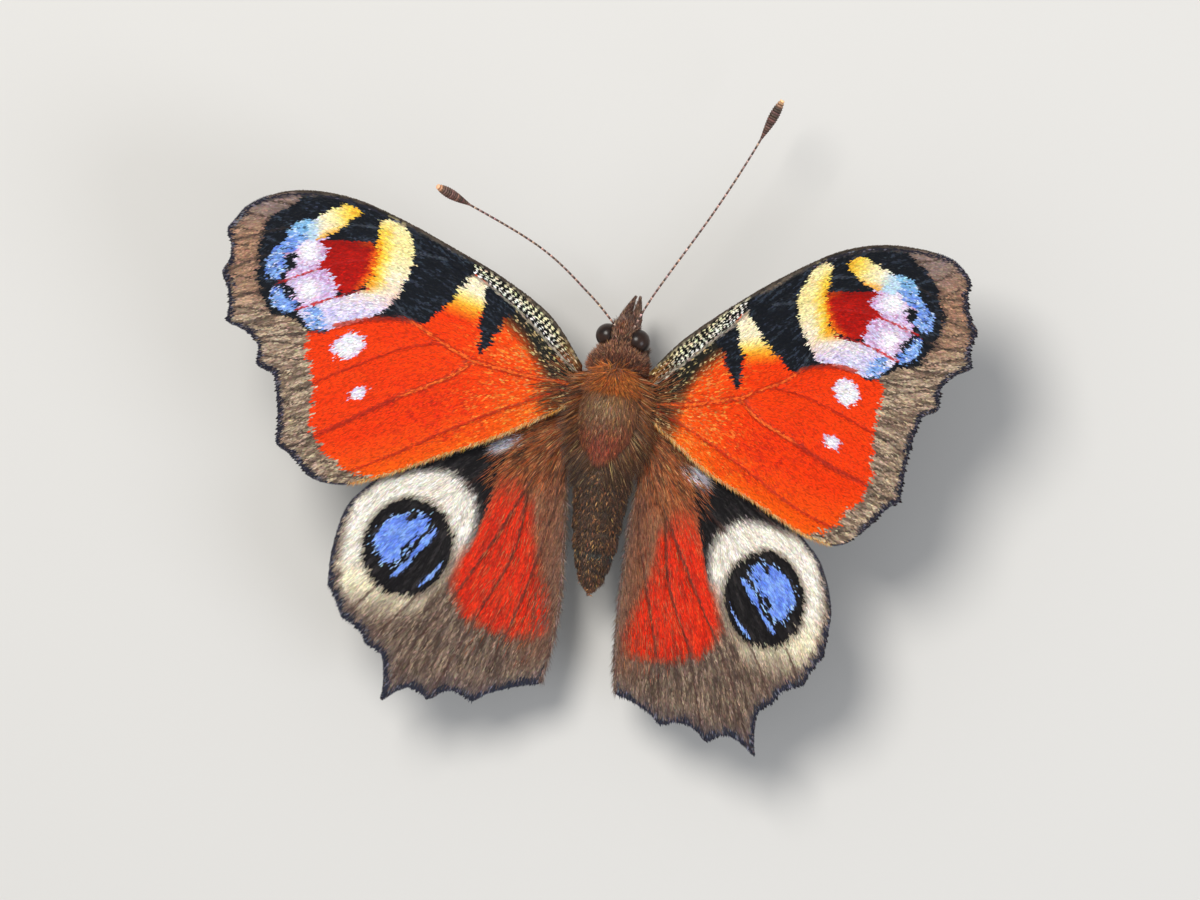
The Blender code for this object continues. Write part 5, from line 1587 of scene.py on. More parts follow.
def forewing_top(spots, wing, edge_gap=None):
    """Markings of the upper face of the forewing."""
    u, v = spots.T
    fine = streaks(spots, 3, 0.16, 1.2)
    coarse = streaks(spots, 4, 0.5, 2.4)
    patchy = mottle(u / 0.28, v / 0.28, 5)
    inner = near(spots, smooth_curve([(1.0, -4.0), (5.4, -6.8), (9.7, -9.0), (14.4, -11.4), (17.3, -12.3)]))
    colours = np.tile(np.array(RED, float), (len(spots), 1))
    colours = lay(colours, 0.35 * coarse, (242, 76, 10))
    colours = lay(colours, np.clip(1 - inner / 3.4, 0, 1) * 0.9, ORANGE)
    colours = lay(colours, 0.75 * soft(6.5 - u, 5.0) * (0.35 + 0.65 * patchy), (242, 92, 16))
    cell = np.clip((v + 9.5) / 3, 0, 1) * np.clip((-2.5 - v) / 2, 0, 1) * np.clip((17 - u) / 4, 0, 1)
    colours = lay(colours, 0.75 * cell * soft(patchy - 0.66, 0.2) * soft(u - 7.5, 4), (204, 40, 16))
    colours = lay(colours, 0.6 * soft(streaks(spots, 19, 0.08, 0.6) - 0.74, 0.14) * soft(9.0 - u, 4.0), (250, 184, 84))
    below = -line_side(spots, SUBCOSTAL)
    olive = soft(1.25 + 0.34 * np.clip(4.6 - u, 0, 9) - below, 1.3) * soft(6.9 - u, 1.6) * soft(below + 0.2, 0.3)
    olive = np.maximum(olive, 0.85 * soft(2.4 - np.hypot(u, v + 2.4), 1.8))
    gold = mottle(u / 0.085, v / 0.085, 6)
    colours = lay(colours, olive, (34, 33, 28))
    flecked = np.clip(olive + 0.5 * soft(6.6 - np.hypot(u, v + 1.0), 3.0), 0, 1)
    colours = lay(colours, 0.9 * flecked * soft(gold - 0.75, 0.1), (212, 188, 132))

    strokes = streaks(spots, 8, 0.028, 0.8, BORDER_ROOT)
    wide = streaks(spots, 9, 0.09, 1.4, BORDER_ROOT)
    beyond = line_side(spots, RED_FIELD_EDGE) + 0.5 * (strokes - 0.5)
    border = soft(beyond, 0.35) * (v < 0.4)
    tip = soft(u + 0.25 * v - 24.4, 1.2)
    border_colours = lay(np.tile(np.array(BORDER, float), (len(spots), 1)), 0.25 * soft(wide - 0.6, 0.4) * soft(1.0 - v, 3.0), BORDER_PALE)
    border_colours = lay(border_colours, 0.65 * soft(0.34 - strokes, 0.16), BORDER_DARK)
    border_colours = lay(border_colours, 0.85 * soft(strokes - 0.64, 0.16), BORDER_PALE)
    warm = soft(v - 0.6, 2.4) * soft(7.6 - v, 1.6) * (0.45 + 0.55 * coarse)
    border_colours = lay(border_colours, 0.75 * warm * (0.3 + 0.7 * strokes), APEX_WARM)
    border_colours = lay(border_colours, soft(v - 7.0, 2.4) * (0.35 + 0.6 * strokes), APEX)
    sweep = np.arctan2(v - BORDER_ROOT[1], u - BORDER_ROOT[0]) * np.hypot(u - BORDER_ROOT[0], v - BORDER_ROOT[1])
    rays = np.abs(np.mod(sweep / 1.25 + 0.12 * mottle(u / 2.5, v / 2.5, 10), 1.0) - 0.5)
    border_colours = lay(border_colours, 0.85 * soft(0.05 - rays, 0.05), (72, 59, 52))
    colours = np.where((np.maximum(border, tip * (v > 0)) > 0.5)[:, None], border_colours, colours)

    black = depth_in(spots, APICAL_BLACK)
    colours = lay(colours, 0.6 * soft(black + 0.12, 0.4) * (u > 22) * (v > 0.5), (70, 56, 50))
    thin = streaks(spots, 11, 0.08, 0.9)
    black_colours = lay(np.tile(np.array(BLACK, float), (len(spots), 1)), 0.85 * soft(thin - 0.72, 0.2), BLACK_STREAK)
    colours = np.where((black > 0)[:, None], black_colours, colours)
    colours = paint_eyespot(colours, spots, fine, patchy, black_colours)

    cream = depth_in(spots, CREAM_BAR)
    cream_colours = blend_keys(v - 0.25 * (u - 9.0), [(1.5, RED), (2.2, (246, 120, 22)), (2.8, (250, 180, 52)),
                                                      (3.4, (252, 222, 132)), (4.0, CREAM)])
    colours = np.where((cream > 0)[:, None], cream_colours, colours)
    wedge = depth_in(spots, BLACK_WEDGE)
    colours = np.where((wedge > 0)[:, None], black_colours, colours)
    colours = paint_front_edge(colours, spots, fine)
    grains = mottle(u / 0.12, v / 0.12, 15)
    for centre, axes, degrees in WHITE_DOTS:
        dot = in_ellipse(spots, centre, axes, degrees)
        rim = soft(0.3 * axes[1] - dot, 0.3 * axes[1])
        dotted = lay(np.tile(np.array(WHITE, float), (len(spots), 1)), 0.8 * rim * (grains > 0.5), (206, 178, 214))
        colours = np.where((dot + 0.3 * (grains - 0.55) > 0)[:, None], dotted, colours)
    return paint_forewing_veins(colours, spots, wing, black, edge_gap)


def line_side(spots, line):
    """Signed distance to an open line, positive on its left."""
    gap, index, _ = track(spots, line[:-1], line[1:])
    run = line[1:][index] - line[:-1][index]
    offset = spots - line[:-1][index]
    return np.where(run[:, 0] * offset[:, 1] - run[:, 1] * offset[:, 0] > 0, gap, -gap)


def paint_eyespot(colours, spots, fine, patchy, black_colours):
    """The eyespot at the tip: crescent, red centre, violet fields, blue flecks and yellow bar."""
    u, v = spots.T
    violet = depth_in(spots, VIOLET_FIELD)
    stipple = mottle(u / 0.13, v / 0.13, 7)
    violet_colours = lay(np.tile(np.array(VIOLET_WHITE, float), (len(spots), 1)), 0.7 * soft(stipple - 0.62, 0.2),
                         (192, 128, 176))
    heart = np.minimum(np.hypot(u - 22.2, v - 5.2), np.hypot(u - 21.8, v - 2.3))
    violet_colours = lay(violet_colours, soft(0.8 - heart, 0.8), (246, 243, 252))
    colours = np.where((violet > 0)[:, None], violet_colours, colours)
    blue_colours = lay(np.tile(np.array(BLUE, float), (len(spots), 1)), 0.8 * soft(patchy - 0.45, 0.5), PALE_BLUE)
    blue_colours = lay(blue_colours, soft(v - 6.4, 1.2) * 0.85, (136, 194, 232))
    blue_colours = lay(blue_colours, 0.75 * soft(stipple - 0.74, 0.12), (222, 232, 252))
    blue_colours = lay(blue_colours, 0.9 * soft(0.2 - stipple, 0.12), (34, 44, 62))
    for loop in (BLUE_BAND, BLUE_SPOT):
        colours = np.where((depth_in(spots, loop) > 0)[:, None], blue_colours, colours)
    bar = depth_in(spots, YELLOW_BAR)
    bar_colours = blend_keys(u - 0.4 * v, [(15.4, (248, 188, 52)), (16.3, (250, 212, 88)), (17.3, (250, 234, 164)),
                                           (18.3, CREAM), (19.2, (188, 214, 234))])
    low_side = np.clip((8.5 - v - (u - 18.7) * 0.55) / 0.6, 0, 1)
    bar_colours = lay(bar_colours, 0.7 * low_side * (u < 21.6), AMBER)
    colours = np.where((bar > 0)[:, None], bar_colours, colours)
    crescent = depth_in(spots, CRESCENT)
    cream = blend_keys(v, [(0.0, (212, 210, 240)), (1.4, (230, 222, 242)), (2.8, (244, 228, 212)), (4.4, CREAM),
                           (6.4, (250, 232, 160)), (8.8, (248, 232, 176))])
    golden = soft(v - 3.2, 1.2) * soft(8.0 - v, 1.2)
    cream = lay(cream, soft(u - 16.1 + 0.5 * (fine - 0.5), 1.0) * golden, YELLOW)
    cream = lay(cream, soft(u - 16.8 + 0.4 * (fine - 0.5), 0.5) * golden * soft(7.2 - v, 1.0), AMBER)
    cream = lay(cream, 0.6 * soft(15.6 - u, 1.2) * soft(3.2 - v, 1.6), (244, 200, 168))
    cream = lay(cream, 0.45 * soft(patchy - 0.6, 0.3) * soft(2.4 - v, 1.0), (172, 160, 218))
    colours = np.where((crescent > 0)[:, None], cream, colours)
    foot = depth_in(spots, BLUE_FOOT)
    colours = np.where(((foot > 0) & (patchy > 0.35))[:, None], blue_colours, colours)
    red = depth_in(spots, EYE_CENTRE_RED)
    red_colours = lay(np.tile(np.array(EYE_RED, float), (len(spots), 1)), 0.5 * soft(fine - 0.62, 0.3), (194, 26, 12))
    red_colours = lay(red_colours, soft(0.35 - red, 0.5) * soft(18.2 - u, 0.8), (236, 104, 20))
    red_colours = lay(red_colours, 0.45 * soft(v - 6.1, 0.8), (110, 10, 8))
    colours = np.where((red > 0)[:, None], red_colours, colours)
    spot = np.maximum(depth_in(spots, BLACK_SPOT), depth_in(spots, BLACK_STIPPLE) - (patchy < 0.45))
    return np.where(((spot > 0) & (patchy > 0.22))[:, None], black_colours, colours)


def paint_front_edge(colours, spots, fine):
    """Black and cream barring of the costa, its grey vein, and the brown front edge."""
    u, v = spots.T
    band = depth_in(spots, STRIPED_BAND)
    gap, index, share = track(spots, SUBCOSTAL[:-1], SUBCOSTAL[1:])
    lengths = np.linalg.norm(np.diff(SUBCOSTAL, axis=0), axis=1)
    along = np.concatenate([[0.0], np.cumsum(lengths)])[index] + share * lengths[index]
    wander = 0.6 * mottle(along / 0.9, gap / 0.6, 12) + 2.4 * (gap > 0.6)
    bars = np.sin(2 * math.pi * along / STRIPE_LENGTH + wander)
    pale = bars + 0.4 * (mottle(along / 0.2, gap / 0.45, 14) - 0.5) > 0.44
    gold = soft(1.7 - u, 1.6)
    cream_bars = blend_keys(gap, [(0.3, (246, 244, 230)), (0.9, (246, 236, 190))])
    barred = np.where(pale[:, None], cream_bars, (14, 15, 15))
    barred = lay(barred, 0.8 * gold * soft(fine - 0.35, 0.4), (150, 104, 50))
    colours = np.where((band > 0)[:, None], barred, colours)
    colours = lay(colours, 0.9 * soft(0.08 - gap, 0.06) * (u < 9.5), (160, 150, 134))
    front = near(spots, COSTAL_LINE)
    ahead = line_side(spots, COSTAL_LINE)
    rim = np.clip(soft(0.42 - front, 0.2) + soft(ahead, 0.2), 0, 1) * soft(26.0 - u, 2.0) * soft(u - 1.5, 1.0)
    rim_colours = lay(np.tile(np.array((82, 71, 62), float), (len(spots), 1)), 0.7 * soft(fine - 0.66, 0.3), (138, 124, 106))
    rim_colours = lay(rim_colours, 0.8 * soft(0.4 - fine, 0.2), (36, 33, 35))
    return colours * (1 - 0.95 * rim[:, None]) + rim_colours * 0.95 * rim[:, None]


def strokes_at_edge(spots):
    """Uneven inner limit of the dark edges."""
    return mottle(spots[:, 0] / 0.2, spots[:, 1] / 0.2, 17)


def paint_forewing_veins(colours, spots, wing, black, edge_gap):
    """Vein lines: red and orange on the red field, pale on the black, red across the eyespot. The main vein's dark red
    band holds painted shade, and its orange crest a painted highlight.
    """
    u, v = spots.T
    lefts = [smooth_curve(vein) for vein in FOREWING_VEINS[1:]]
    gap = np.min([near(spots, line) for line in lefts], axis=0)
    on_black = black > 0
    in_border = (line_side(spots, RED_FIELD_EDGE) > 0) & (v < 0.4) | (u + 0.25 * v > 24.2)
    line_colour = np.where(on_black[:, None], (84, 92, 102), (164, 34, 20))
    line_colour = np.where(in_border[:, None], (58, 48, 44), line_colour)
    weight = np.where(on_black, 0.55, 0.66) * soft(0.085 - gap, 0.08)
    in_eye = (depth_in(spots, CRESCENT) > 0) | (depth_in(spots, EYE_FIELD) > 0)
    colours = lay(colours, weight * ~in_eye, line_colour)
    main = np.minimum(near(spots, CUBITUS), near(spots, LOWER_BRANCH))
    main = np.where(line_side(spots, RED_FIELD_EDGE) > 0, 9.0, main)
    # A dark red band along the main veins: in part their own colour, in part painted shade beside the raised vein.
    colours = lay(colours, 0.75 * soft(0.2 - main, 0.1) * (v < 1.3), (178, 40, 18))
    # A thin orange line on the crest of the main vein: its own orange, with a painted highlight.
    colours = lay(colours, 0.9 * soft(0.075 - main, 0.05) * soft(13.6 - u, 1.0), (250, 112, 40))
    for line in EYE_LINES:
        colours = lay(colours, 0.85 * soft(0.06 - near(spots, line), 0.06), (186, 32, 30))
    if edge_gap is not None:
        specks = 0.6 * (mottle(u / 0.13, v / 0.13, 16) > 0.78)[:, None]
        rim_colours = np.array(EDGE_DARK, float) * (1 - specks) + np.array((150, 148, 158), float) * specks
        cover = soft(0.34 - edge_gap + 0.12 * (strokes_at_edge(spots) - 0.5), 0.16) * soft(u + v * 0.2 - 16.0, 1.0)
        colours = colours * (1 - cover[:, None]) + rim_colours * cover[:, None]
        colours = lay(colours, 0.7 * soft(0.14 - edge_gap, 0.14) * soft(16.0 - u, 1.0) * (v < -2), (248, 156, 64))
    return colours


RING_BLACK = ((11.8, -13.2), (3.35, 3.75), 12)
RING_OUTER = closed([
    (11.2, -7.2), (9.4, -7.1), (8.1, -7.8), (7.2, -8.9), (6.9, -10.2), (7.0, -11.6), (7.5, -13.1), (8.1, -14.9),
    (9.4, -16.9), (11.2, -18.7), (13.4, -19.2), (15.6, -18.2), (16.9, -16.2), (17.2, -13.9), (17.0, -11.9), (16.3, -10.2),
    (14.9, -8.7), (13.2, -7.7),
])
BLUE_MAIN = closed([
    (14.35, -12.7), (13.8, -11.6), (12.7, -10.8), (11.6, -10.4), (10.8, -10.6), (10.35, -11.3), (10.7, -12.0),
    (11.5, -13.1), (12.0, -13.9), (12.6, -14.5), (13.4, -14.5), (14.0, -13.8), (14.4, -13.3),
])
BLUE_STRIPE = smooth_curve([(9.9, -11.8), (10.5, -12.6), (11.2, -13.6), (11.4, -14.1), (11.9, -14.7), (12.45, -15.4)])
BLUE_STREAK = smooth_curve([(9.0, -14.0), (9.5, -14.9), (10.5, -16.1)])
RED_FIELD = closed([
    (5.6, -6.2), (6.0, -8.4), (6.5, -10.4), (7.1, -12.2), (7.6, -13.8), (7.8, -15.8), (7.2, -17.2), (5.8, -18.2),
    (3.6, -18.7), (1.3, -18.7), (0.3, -17.7), (0.5, -15.6), (1.5, -13.4), (2.3, -10.9), (3.0, -8.3), (4.2, -6.4),
])
BLACK_FORE = closed([
    (5.3, -3.6), (5.4, -5.0), (5.8, -6.9), (6.1, -8.9), (6.4, -10.3), (7.0, -12.0), (8.4, -12.0), (10.0, -8.4),
    (14.6, -7.6), (17.4, -9.8), (18.6, -8.0), (13.0, -2.2), (7.0, 0.0),
])
PALE_TUFT = ((5.3, -4.1), (1.35, 0.55), -28)
HIND_BROWN = (107, 88, 76)
HIND_HAIR = (166, 94, 50)
HIND_RED = (219, 40, 14)
HIND_BLACK = (21, 19, 21)
RING_CREAM = (248, 243, 231)
HIND_BLUE = (106, 143, 238)


def hindwing_top(spots, wing, edge_gap=None):
    """Markings of the upper face of the hindwing."""
    u, v = spots.T
    fine = streaks(spots, 23, 0.15, 1.1, (1.5, 1.5))
    coarse = streaks(spots, 24, 0.5, 2.6, (1.5, 1.5))
    patchy = mottle(u / 0.26, v / 0.26, 25)
    strokes = streaks(spots, 28, 0.06, 0.8, (1.5, 1.5))
    colours = np.tile(np.array(HIND_BROWN, float), (len(spots), 1))
    colours = lay(colours, 0.15 * soft(fine - 0.6, 0.4) + 0.6 * soft(strokes - 0.66, 0.16), (176, 153, 130))
    colours = lay(colours, 0.15 * soft(0.36 - fine, 0.3) + 0.6 * soft(0.34 - strokes, 0.16), (66, 52, 45))
    root = np.maximum(soft(v + 8.0, 4.5) * soft(6.6 - u, 1.0), 0.55 * soft(v + 15.0, 8.0) * soft(2.6 - u, 1.6))
    colours = lay(colours, 0.9 * root, HIND_HAIR)
    colours = lay(colours, 0.5 * root * soft(fine - 0.62, 0.25), (210, 148, 92))
    colours = lay(colours, 0.55 * root * soft(0.36 - coarse, 0.2), (88, 58, 40))
    colours = lay(colours, 0.55 * soft(2.6 - u, 1.6) * soft(v + 20.5, 3.0), (138, 94, 74))
    ash = soft(v + 22.2 + 0.1 * u, 1.6)
    colours = lay(colours, 0.4 * (1 - ash), (98, 86, 86))
    red = depth_in(spots, RED_FIELD) + 0.5 * (coarse - 0.5)
    red_colours = lay(np.tile(np.array(HIND_RED, float), (len(spots), 1)), 0.45 * soft(fine - 0.6, 0.4), (226, 66, 30))
    red_colours = lay(red_colours, 0.5 * soft(0.3 - fine, 0.3), (160, 38, 26))
    red_colours = lay(red_colours, 0.3 * soft(strokes - 0.74, 0.2), (228, 110, 60))
    upper = soft(v + 7.6, 2.6)
    cover = soft(red, 0.9) * (1 - 0.7 * upper)
    colours = colours * (1 - cover[:, None]) + red_colours * cover[:, None]

    ring = depth_in(spots, RING_OUTER)
    ring_colours = lay(np.tile(np.array(RING_CREAM, float), (len(spots), 1)), 0.5 * soft(0.36 - fine, 0.4),
                       (196, 184, 166))
    ring_colours = lay(ring_colours, 0.45 * soft(-15.2 - v, 2.0), (238, 224, 168))
    fade = np.clip((-16.6 - v) / 2.2, 0, 1) * 0.8 + np.clip((u - 16.3) / 0.9, 0, 1) * 0.75 * (v < -9.5)
    fade = np.maximum(fade, 0.75 * soft(-12.8 - v, 2.4) * soft(10.4 - u, 2.0))
    cover = soft(ring, 0.7) * (1 - np.clip(fade, 0, 1))
    black_fore = depth_in(spots, BLACK_FORE)
    dark = lay(np.tile(np.array(HIND_BLACK, float), (len(spots), 1)), 0.6 * soft(fine - 0.72, 0.3), (66, 62, 62))
    colours = np.where((black_fore > 0)[:, None], dark, colours)
    colours = lay(colours, soft(in_ellipse(spots, *PALE_TUFT), 0.4) * soft(strokes - 0.3, 0.3), (214, 220, 240))
    colours = lay(colours, 0.8 * soft(ring + 0.3, 0.5) * (ring < 0) * (v > -13), (112, 104, 98))
    colours = colours * (1 - cover[:, None]) + ring_colours * cover[:, None]
    pupil = in_ellipse(spots, *RING_BLACK)
    colours = lay(colours, 0.8 * soft(pupil + 0.26, 0.5), (116, 106, 92))
    colours = np.where((pupil > 0)[:, None], dark, colours)
    colours = paint_blue(colours, spots, fine, patchy)
    return paint_hindwing_edge(colours, spots, edge_gap)


def paint_blue(colours, spots, fine, patchy):
    """Blue scales in the hindwing's ring: a rounded patch, a stripe and a short streak."""
    blue = lay(np.tile(np.array(HIND_BLUE, float), (len(spots), 1)), 0.7 * soft(patchy - 0.5, 0.5), (146, 184, 252))
    blue = lay(blue, 0.5 * soft(0.26 - patchy, 0.3), (82, 112, 212))
    main = depth_in(spots, BLUE_MAIN)
    thin = streaks(spots, 26, 0.12, 0.9, (1.5, 1.5))
    gap = (main < 0.7) & (spots[:, 0] < 12.2) & (thin < 0.36)
    colours = np.where(((main > 0) & ~gap)[:, None], blue, colours)
    dots = (np.abs(main + 0.1) < 0.22) & (mottle(spots[:, 0] / 0.11, spots[:, 1] / 0.11, 27) > 0.74)
    colours = np.where(dots[:, None], (160, 196, 252), colours)
    stripe, index, _ = track(spots, BLUE_STRIPE[:-1], BLUE_STRIPE[1:])
    share = index / len(BLUE_STRIPE)
    width = np.interp(share, [0, 0.2, 0.42, 0.55, 0.8, 1.0], [0.16, 0.31, 0.17, 0.08, 0.23, 0.18])
    colours = np.where((stripe < width)[:, None], blue, colours)
    streak, index, _ = track(spots, BLUE_STREAK[:-1], BLUE_STREAK[1:])
    width = 0.12 * np.sin(np.pi * np.clip(index / len(BLUE_STREAK), 0.05, 0.95)) ** 0.5
    return np.where((streak < width)[:, None], lay(blue, np.full(len(spots), 0.4), (150, 184, 250)), colours)


def paint_hindwing_edge(colours, spots, edge_gap):
    """Veins as thin dark lines, and the dark bluish edge."""
    u, v = spots.T
    lines = [smooth_curve(vein) for vein in HINDWING_VEINS]
    gap = np.min([near(spots, line) for line in lines], axis=0)
    plain = (in_ellipse(spots, *RING_BLACK) < 0) & (v < -6)
    on_ring = soft(depth_in(spots, RING_OUTER), 0.7) * soft(v + 16.5, 1.5)
    colours = lay(colours, 0.66 * soft(0.085 - gap, 0.08) * plain * (1 - 0.85 * on_ring), (70, 47, 42))
    rays = np.abs(np.mod(np.arctan2(-v + 1.5, u - 1.5) * 13.0, 1.0) - 0.5)
    outer = soft(-15.5 - v - 0.15 * u, 3.0)
    colours = lay(colours, 0.4 * soft(0.06 - rays, 0.06) * outer * (in_ellipse(spots, *RING_BLACK) < -0.4), (84, 70, 64))
    if edge_gap is not None:
        outer = soft(-9.0 - v, 1.5) * np.maximum(soft(u - 3.0, 2.0), soft(-20.6 - v, 0.8))
        specks = 0.6 * (mottle(u / 0.13, v / 0.13, 18) > 0.76)[:, None]
        rim_colours = np.array((42, 44, 57), float) * (1 - specks) + np.array((146, 144, 158), float) * specks
        width = 0.22 + 0.14 * np.clip((-14.5 - v) / 2, 0, 1)
        cover = soft(width - edge_gap + 0.12 * (strokes_at_edge(spots) - 0.5), 0.16) * outer
        colours = lay(colours, 0.3 * soft(0.8 - edge_gap, 0.8) * outer * soft(-16.5 - v, 2), (88, 80, 86))
        colours = colours * (1 - cover[:, None]) + rim_colours * cover[:, None]
    return colours


def underside(spots, wing, edge_gap=None):
    """Dark, finely barred under face of every wing, paler towards the edge."""
    u, v = spots.T
    root = (-1.5, -2.0) if wing["kind"] == "forewing" else (1.5, 1.5)
    reach = np.hypot(u - root[0], v - root[1])
    sweep = np.arctan2(v - root[1], u - root[0])
    wavy = np.sin(reach * 5.2 + 3.0 * mottle(sweep * 9, reach * 0.6, 41) + 2.2 * mottle(sweep * 30, reach, 42))
    colours = np.tile(np.array((38, 31, 28), float), (len(spots), 1))
    colours = lay(colours, 0.5 * soft(wavy, 0.8), (62, 50, 42))
    limit = 17.5 if wing["kind"] == "forewing" else 15.5
    zone = limit + 1.6 * np.sin(sweep * 9) + 1.2 * mottle(sweep * 12, reach * 0.2, 43)
    outer = soft(reach - zone, 1.6)
    colours = lay(colours, 0.6 * outer, (88, 74, 62))
    colours = lay(colours, 0.7 * soft(0.35 - np.abs(reach - zone), 0.4), (18, 14, 14))
    colours = lay(colours, 0.5 * outer * soft(wavy - 0.3, 0.6), (112, 96, 78))
    dot = (15.0, 3.5) if wing["kind"] == "forewing" else (8.0, -10.5)
    colours = lay(colours, soft(0.24 - np.hypot(u - dot[0], v - dot[1]), 0.12), (206, 196, 170))
    if edge_gap is not None:
        colours = lay(colours, 0.8 * soft(0.5 - edge_gap, 0.4), (30, 26, 28))
    return colours


PAINTS = {"forewing": forewing_top, "hindwing": hindwing_top}
MEMBRANE_FINISH = painted_finish("wing membrane", 0.55, unevenness=0.3)
wings = {}
for kind in WINGS:
    for side in ("left", "right"):
        wing = make_wing_frame(kind, side)
        membrane_piece(wing, PAINTS[kind], underside, MEMBRANE_FINISH)
        wings[(kind, side)] = wing

# Scales of the wings
# Both faces are shingled with flat scales, each a little blade rooted in the membrane and lying
# towards the edge. They overlap like tiles, and each has one colour and a fine lengthwise rib.
SCALE_PITCH = {"forewing": (0.135, 0.098), "hindwing": (0.12, 0.11)}
SCALE_SIZE = {"forewing": (0.42, 0.115), "hindwing": (0.52, 0.095)}
UNDER_PITCH = (0.25, 0.2)
UNDER_SIZE = (0.5, 0.22)
SHOWN_SHARE = 0.62          # how far along a scale the middle of its open part lies
SCALE_FINISH = painted_finish("wing scales", 0.6, unevenness=0.2, ridges=3.0, ridge_height=0.1, gloss=0.12)


def scale_template():
    """A flat blade, widest past its middle, with a shallow keel underneath: a closed body of six faces."""
    points = [(0.0, 0.0, 0.0), (0.6, -0.5, 0.0), (1.0, 0.0, 0.0), (0.6, 0.5, 0.0), (0.55, 0.0, -0.1)]
    faces = [(0, 1, 3), (1, 2, 3)] + [((k + 1) % 4, k, 4) for k in range(4)]
    return finish_template("scale_pattern", points, faces)


def lie_field(spots, wing):
    """Direction in which scales lie: along the nearest veins, fanning out between them."""
    middles = (wing["starts"] + wing["ends"]) / 2
    ways = unit(wing["ends"] - wing["starts"])
    found = []
    for part in np.array_split(spots, max(1, len(spots) // 3000)):
        gap = np.sum((part[:, None, :] - middles[None]) ** 2, axis=2) + 0.6
        found.append((1 / gap ** 2) @ ways)
    return unit(np.vstack(found))


def wing_spots(wing, pitch, rng, inset=0.2):
    """Places for scales in staggered, slightly uneven rows."""
    low, high = wing["edge"].min(axis=0), wing["edge"].max(axis=0)
    rows = np.arange(low[1], high[1], pitch[1])
    spots = [(u + (k % 2) * pitch[0] / 2, v) for k, v in enumerate(rows) for u in np.arange(low[0], high[0], pitch[0])]
    spots = np.array(spots) + rng.uniform(-0.42, 0.42, (len(spots), 2)) * pitch
    gap = depth_in(spots, wing["edge"])
    return spots[gap > inset], gap[gap > inset]


def wing_roots(wing, spots, lie, face_sign, lift, size, colours, rng, tilt=0.16):
    """Roots on one face of a wing, for scales or hairs that lie along the given directions."""
    small = 0.05
    height = wing_height(spots, wing)
    slope_u = (wing_height(spots + (small, 0), wing) - height) / small
    slope_v = (wing_height(spots + (0, small), wing) - height) / small
    outward, ahead, upward = wing["outward"], wing["ahead"], wing["upward"]
    face = unit(upward - np.outer(slope_u, outward) - np.outer(slope_v, ahead)) * face_sign
    way = (np.outer(lie[:, 0], outward) + np.outer(lie[:, 1], ahead)
           + np.outer(lie[:, 0] * slope_u + lie[:, 1] * slope_v, upward))
    way = unit(unit(way) + face * np.tan(lift)[:, None])
    at = from_wing(spots, height, wing) + face * MEMBRANE * 0.42
    low, high = wing["tips"].min(axis=0), wing["tips"].max(axis=0)
    unwrap = 0.02 + 0.96 * (spots - low) / (high - low)
    return {"at": at, "lie": way, "face": unit(face + rng.normal(0, tilt, face.shape)), "size": size, "tint": colours,
            "unwrap": unwrap}


def ragged(spots, lie, rng, shown, along, across):
    """Places where scales show, moved a little, so that the markings break up at their edges."""
    side = np.column_stack([-lie[:, 1], lie[:, 0]])
    wander = 2 * (streaks(spots, 61, 0.22, 1.2) - 0.5) * along
    return (spots + lie * (shown + rng.normal(0, 0.55 * along, len(spots)) + wander)[:, None]
            + side * rng.normal(0, across, len(spots))[:, None])


SCALE = scale_template()
for number, ((kind, side), wing) in enumerate(wings.items()):
    rng = np.random.default_rng(70 + number)
    spots, gap = wing_spots(wing, SCALE_PITCH[kind], rng)
    lie = lie_field(spots, wing)
    turned = rng.normal(0, 0.1, len(spots))
    lie = np.column_stack([lie[:, 0] - turned * lie[:, 1], lie[:, 1] + turned * lie[:, 0]])
    length, width = SCALE_SIZE[kind]
    barred = depth_in(wing["to_left"](spots), STRIPED_BAND) > -0.3
    uneven = np.where(barred, 0.03, 0.2) if kind == "forewing" else np.full(len(spots), 0.24)
    moved = ragged(spots, lie, rng, SHOWN_SHARE * length, uneven, 0.035)
    colours = PAINTS[kind](wing["to_left"](moved), wing, np.maximum(depth_in(moved, wing["edge"]), 0.0))
    colours = vary(colours, rng, 0.08, 0.03)
    size = np.column_stack([rng.uniform(0.85, 1.15, len(spots)) * length, rng.uniform(0.85, 1.15, len(spots)) * width,
                            np.full(len(spots), 0.15 * length)])
    lift = np.radians(rng.uniform(4, 8, len(spots)))
    roots = wing_roots(wing, spots, unit(lie), 1, lift, size, colours, rng, 0.1)
    grow_coat(f"{kind}_scales_{side}", roots, SCALE, SCALE_FINISH, smooth=False)

    spots, gap = wing_spots(wing, UNDER_PITCH, rng)
    lie = lie_field(spots, wing)
    moved = ragged(spots, lie, rng, SHOWN_SHARE * UNDER_SIZE[0], 0.15, 0.05)
    colours = vary(underside(wing["to_left"](moved), wing, gap), rng, 0.14, 0.04)
    size = np.column_stack([rng.uniform(0.85, 1.15, len(spots)) * UNDER_SIZE[0],
                            rng.uniform(0.85, 1.15, len(spots)) * UNDER_SIZE[1],
                            np.full(len(spots), 0.2 * UNDER_SIZE[0])])
    lift = np.radians(rng.uniform(4, 9, len(spots)))
    roots = wing_roots(wing, spots, lie, -1, lift, size, colours, rng)
    grow_coat(f"{kind}_under_scales_{side}", roots, SCALE, SCALE_FINISH, smooth=False)

# Fringe and wing hair
# The edge of each wing ends in a fringe of longer scales. Hair covers the roots of the wings
# and the inner half of the hindwing, and combs out past its inner edge.
FRINGE_STEP = 0.028
FRINGE_LENGTH = 0.42
WING_HAIR = tuft_template("wing_hair_pattern", [(0.0, 0.8), (0.45, 1.0)], 3, -0.06)
HAIR_FINISH = painted_finish("wing hair", 0.55, sheen=0.1, unevenness=0.25, ridges=2.0, ridge_height=0.1)


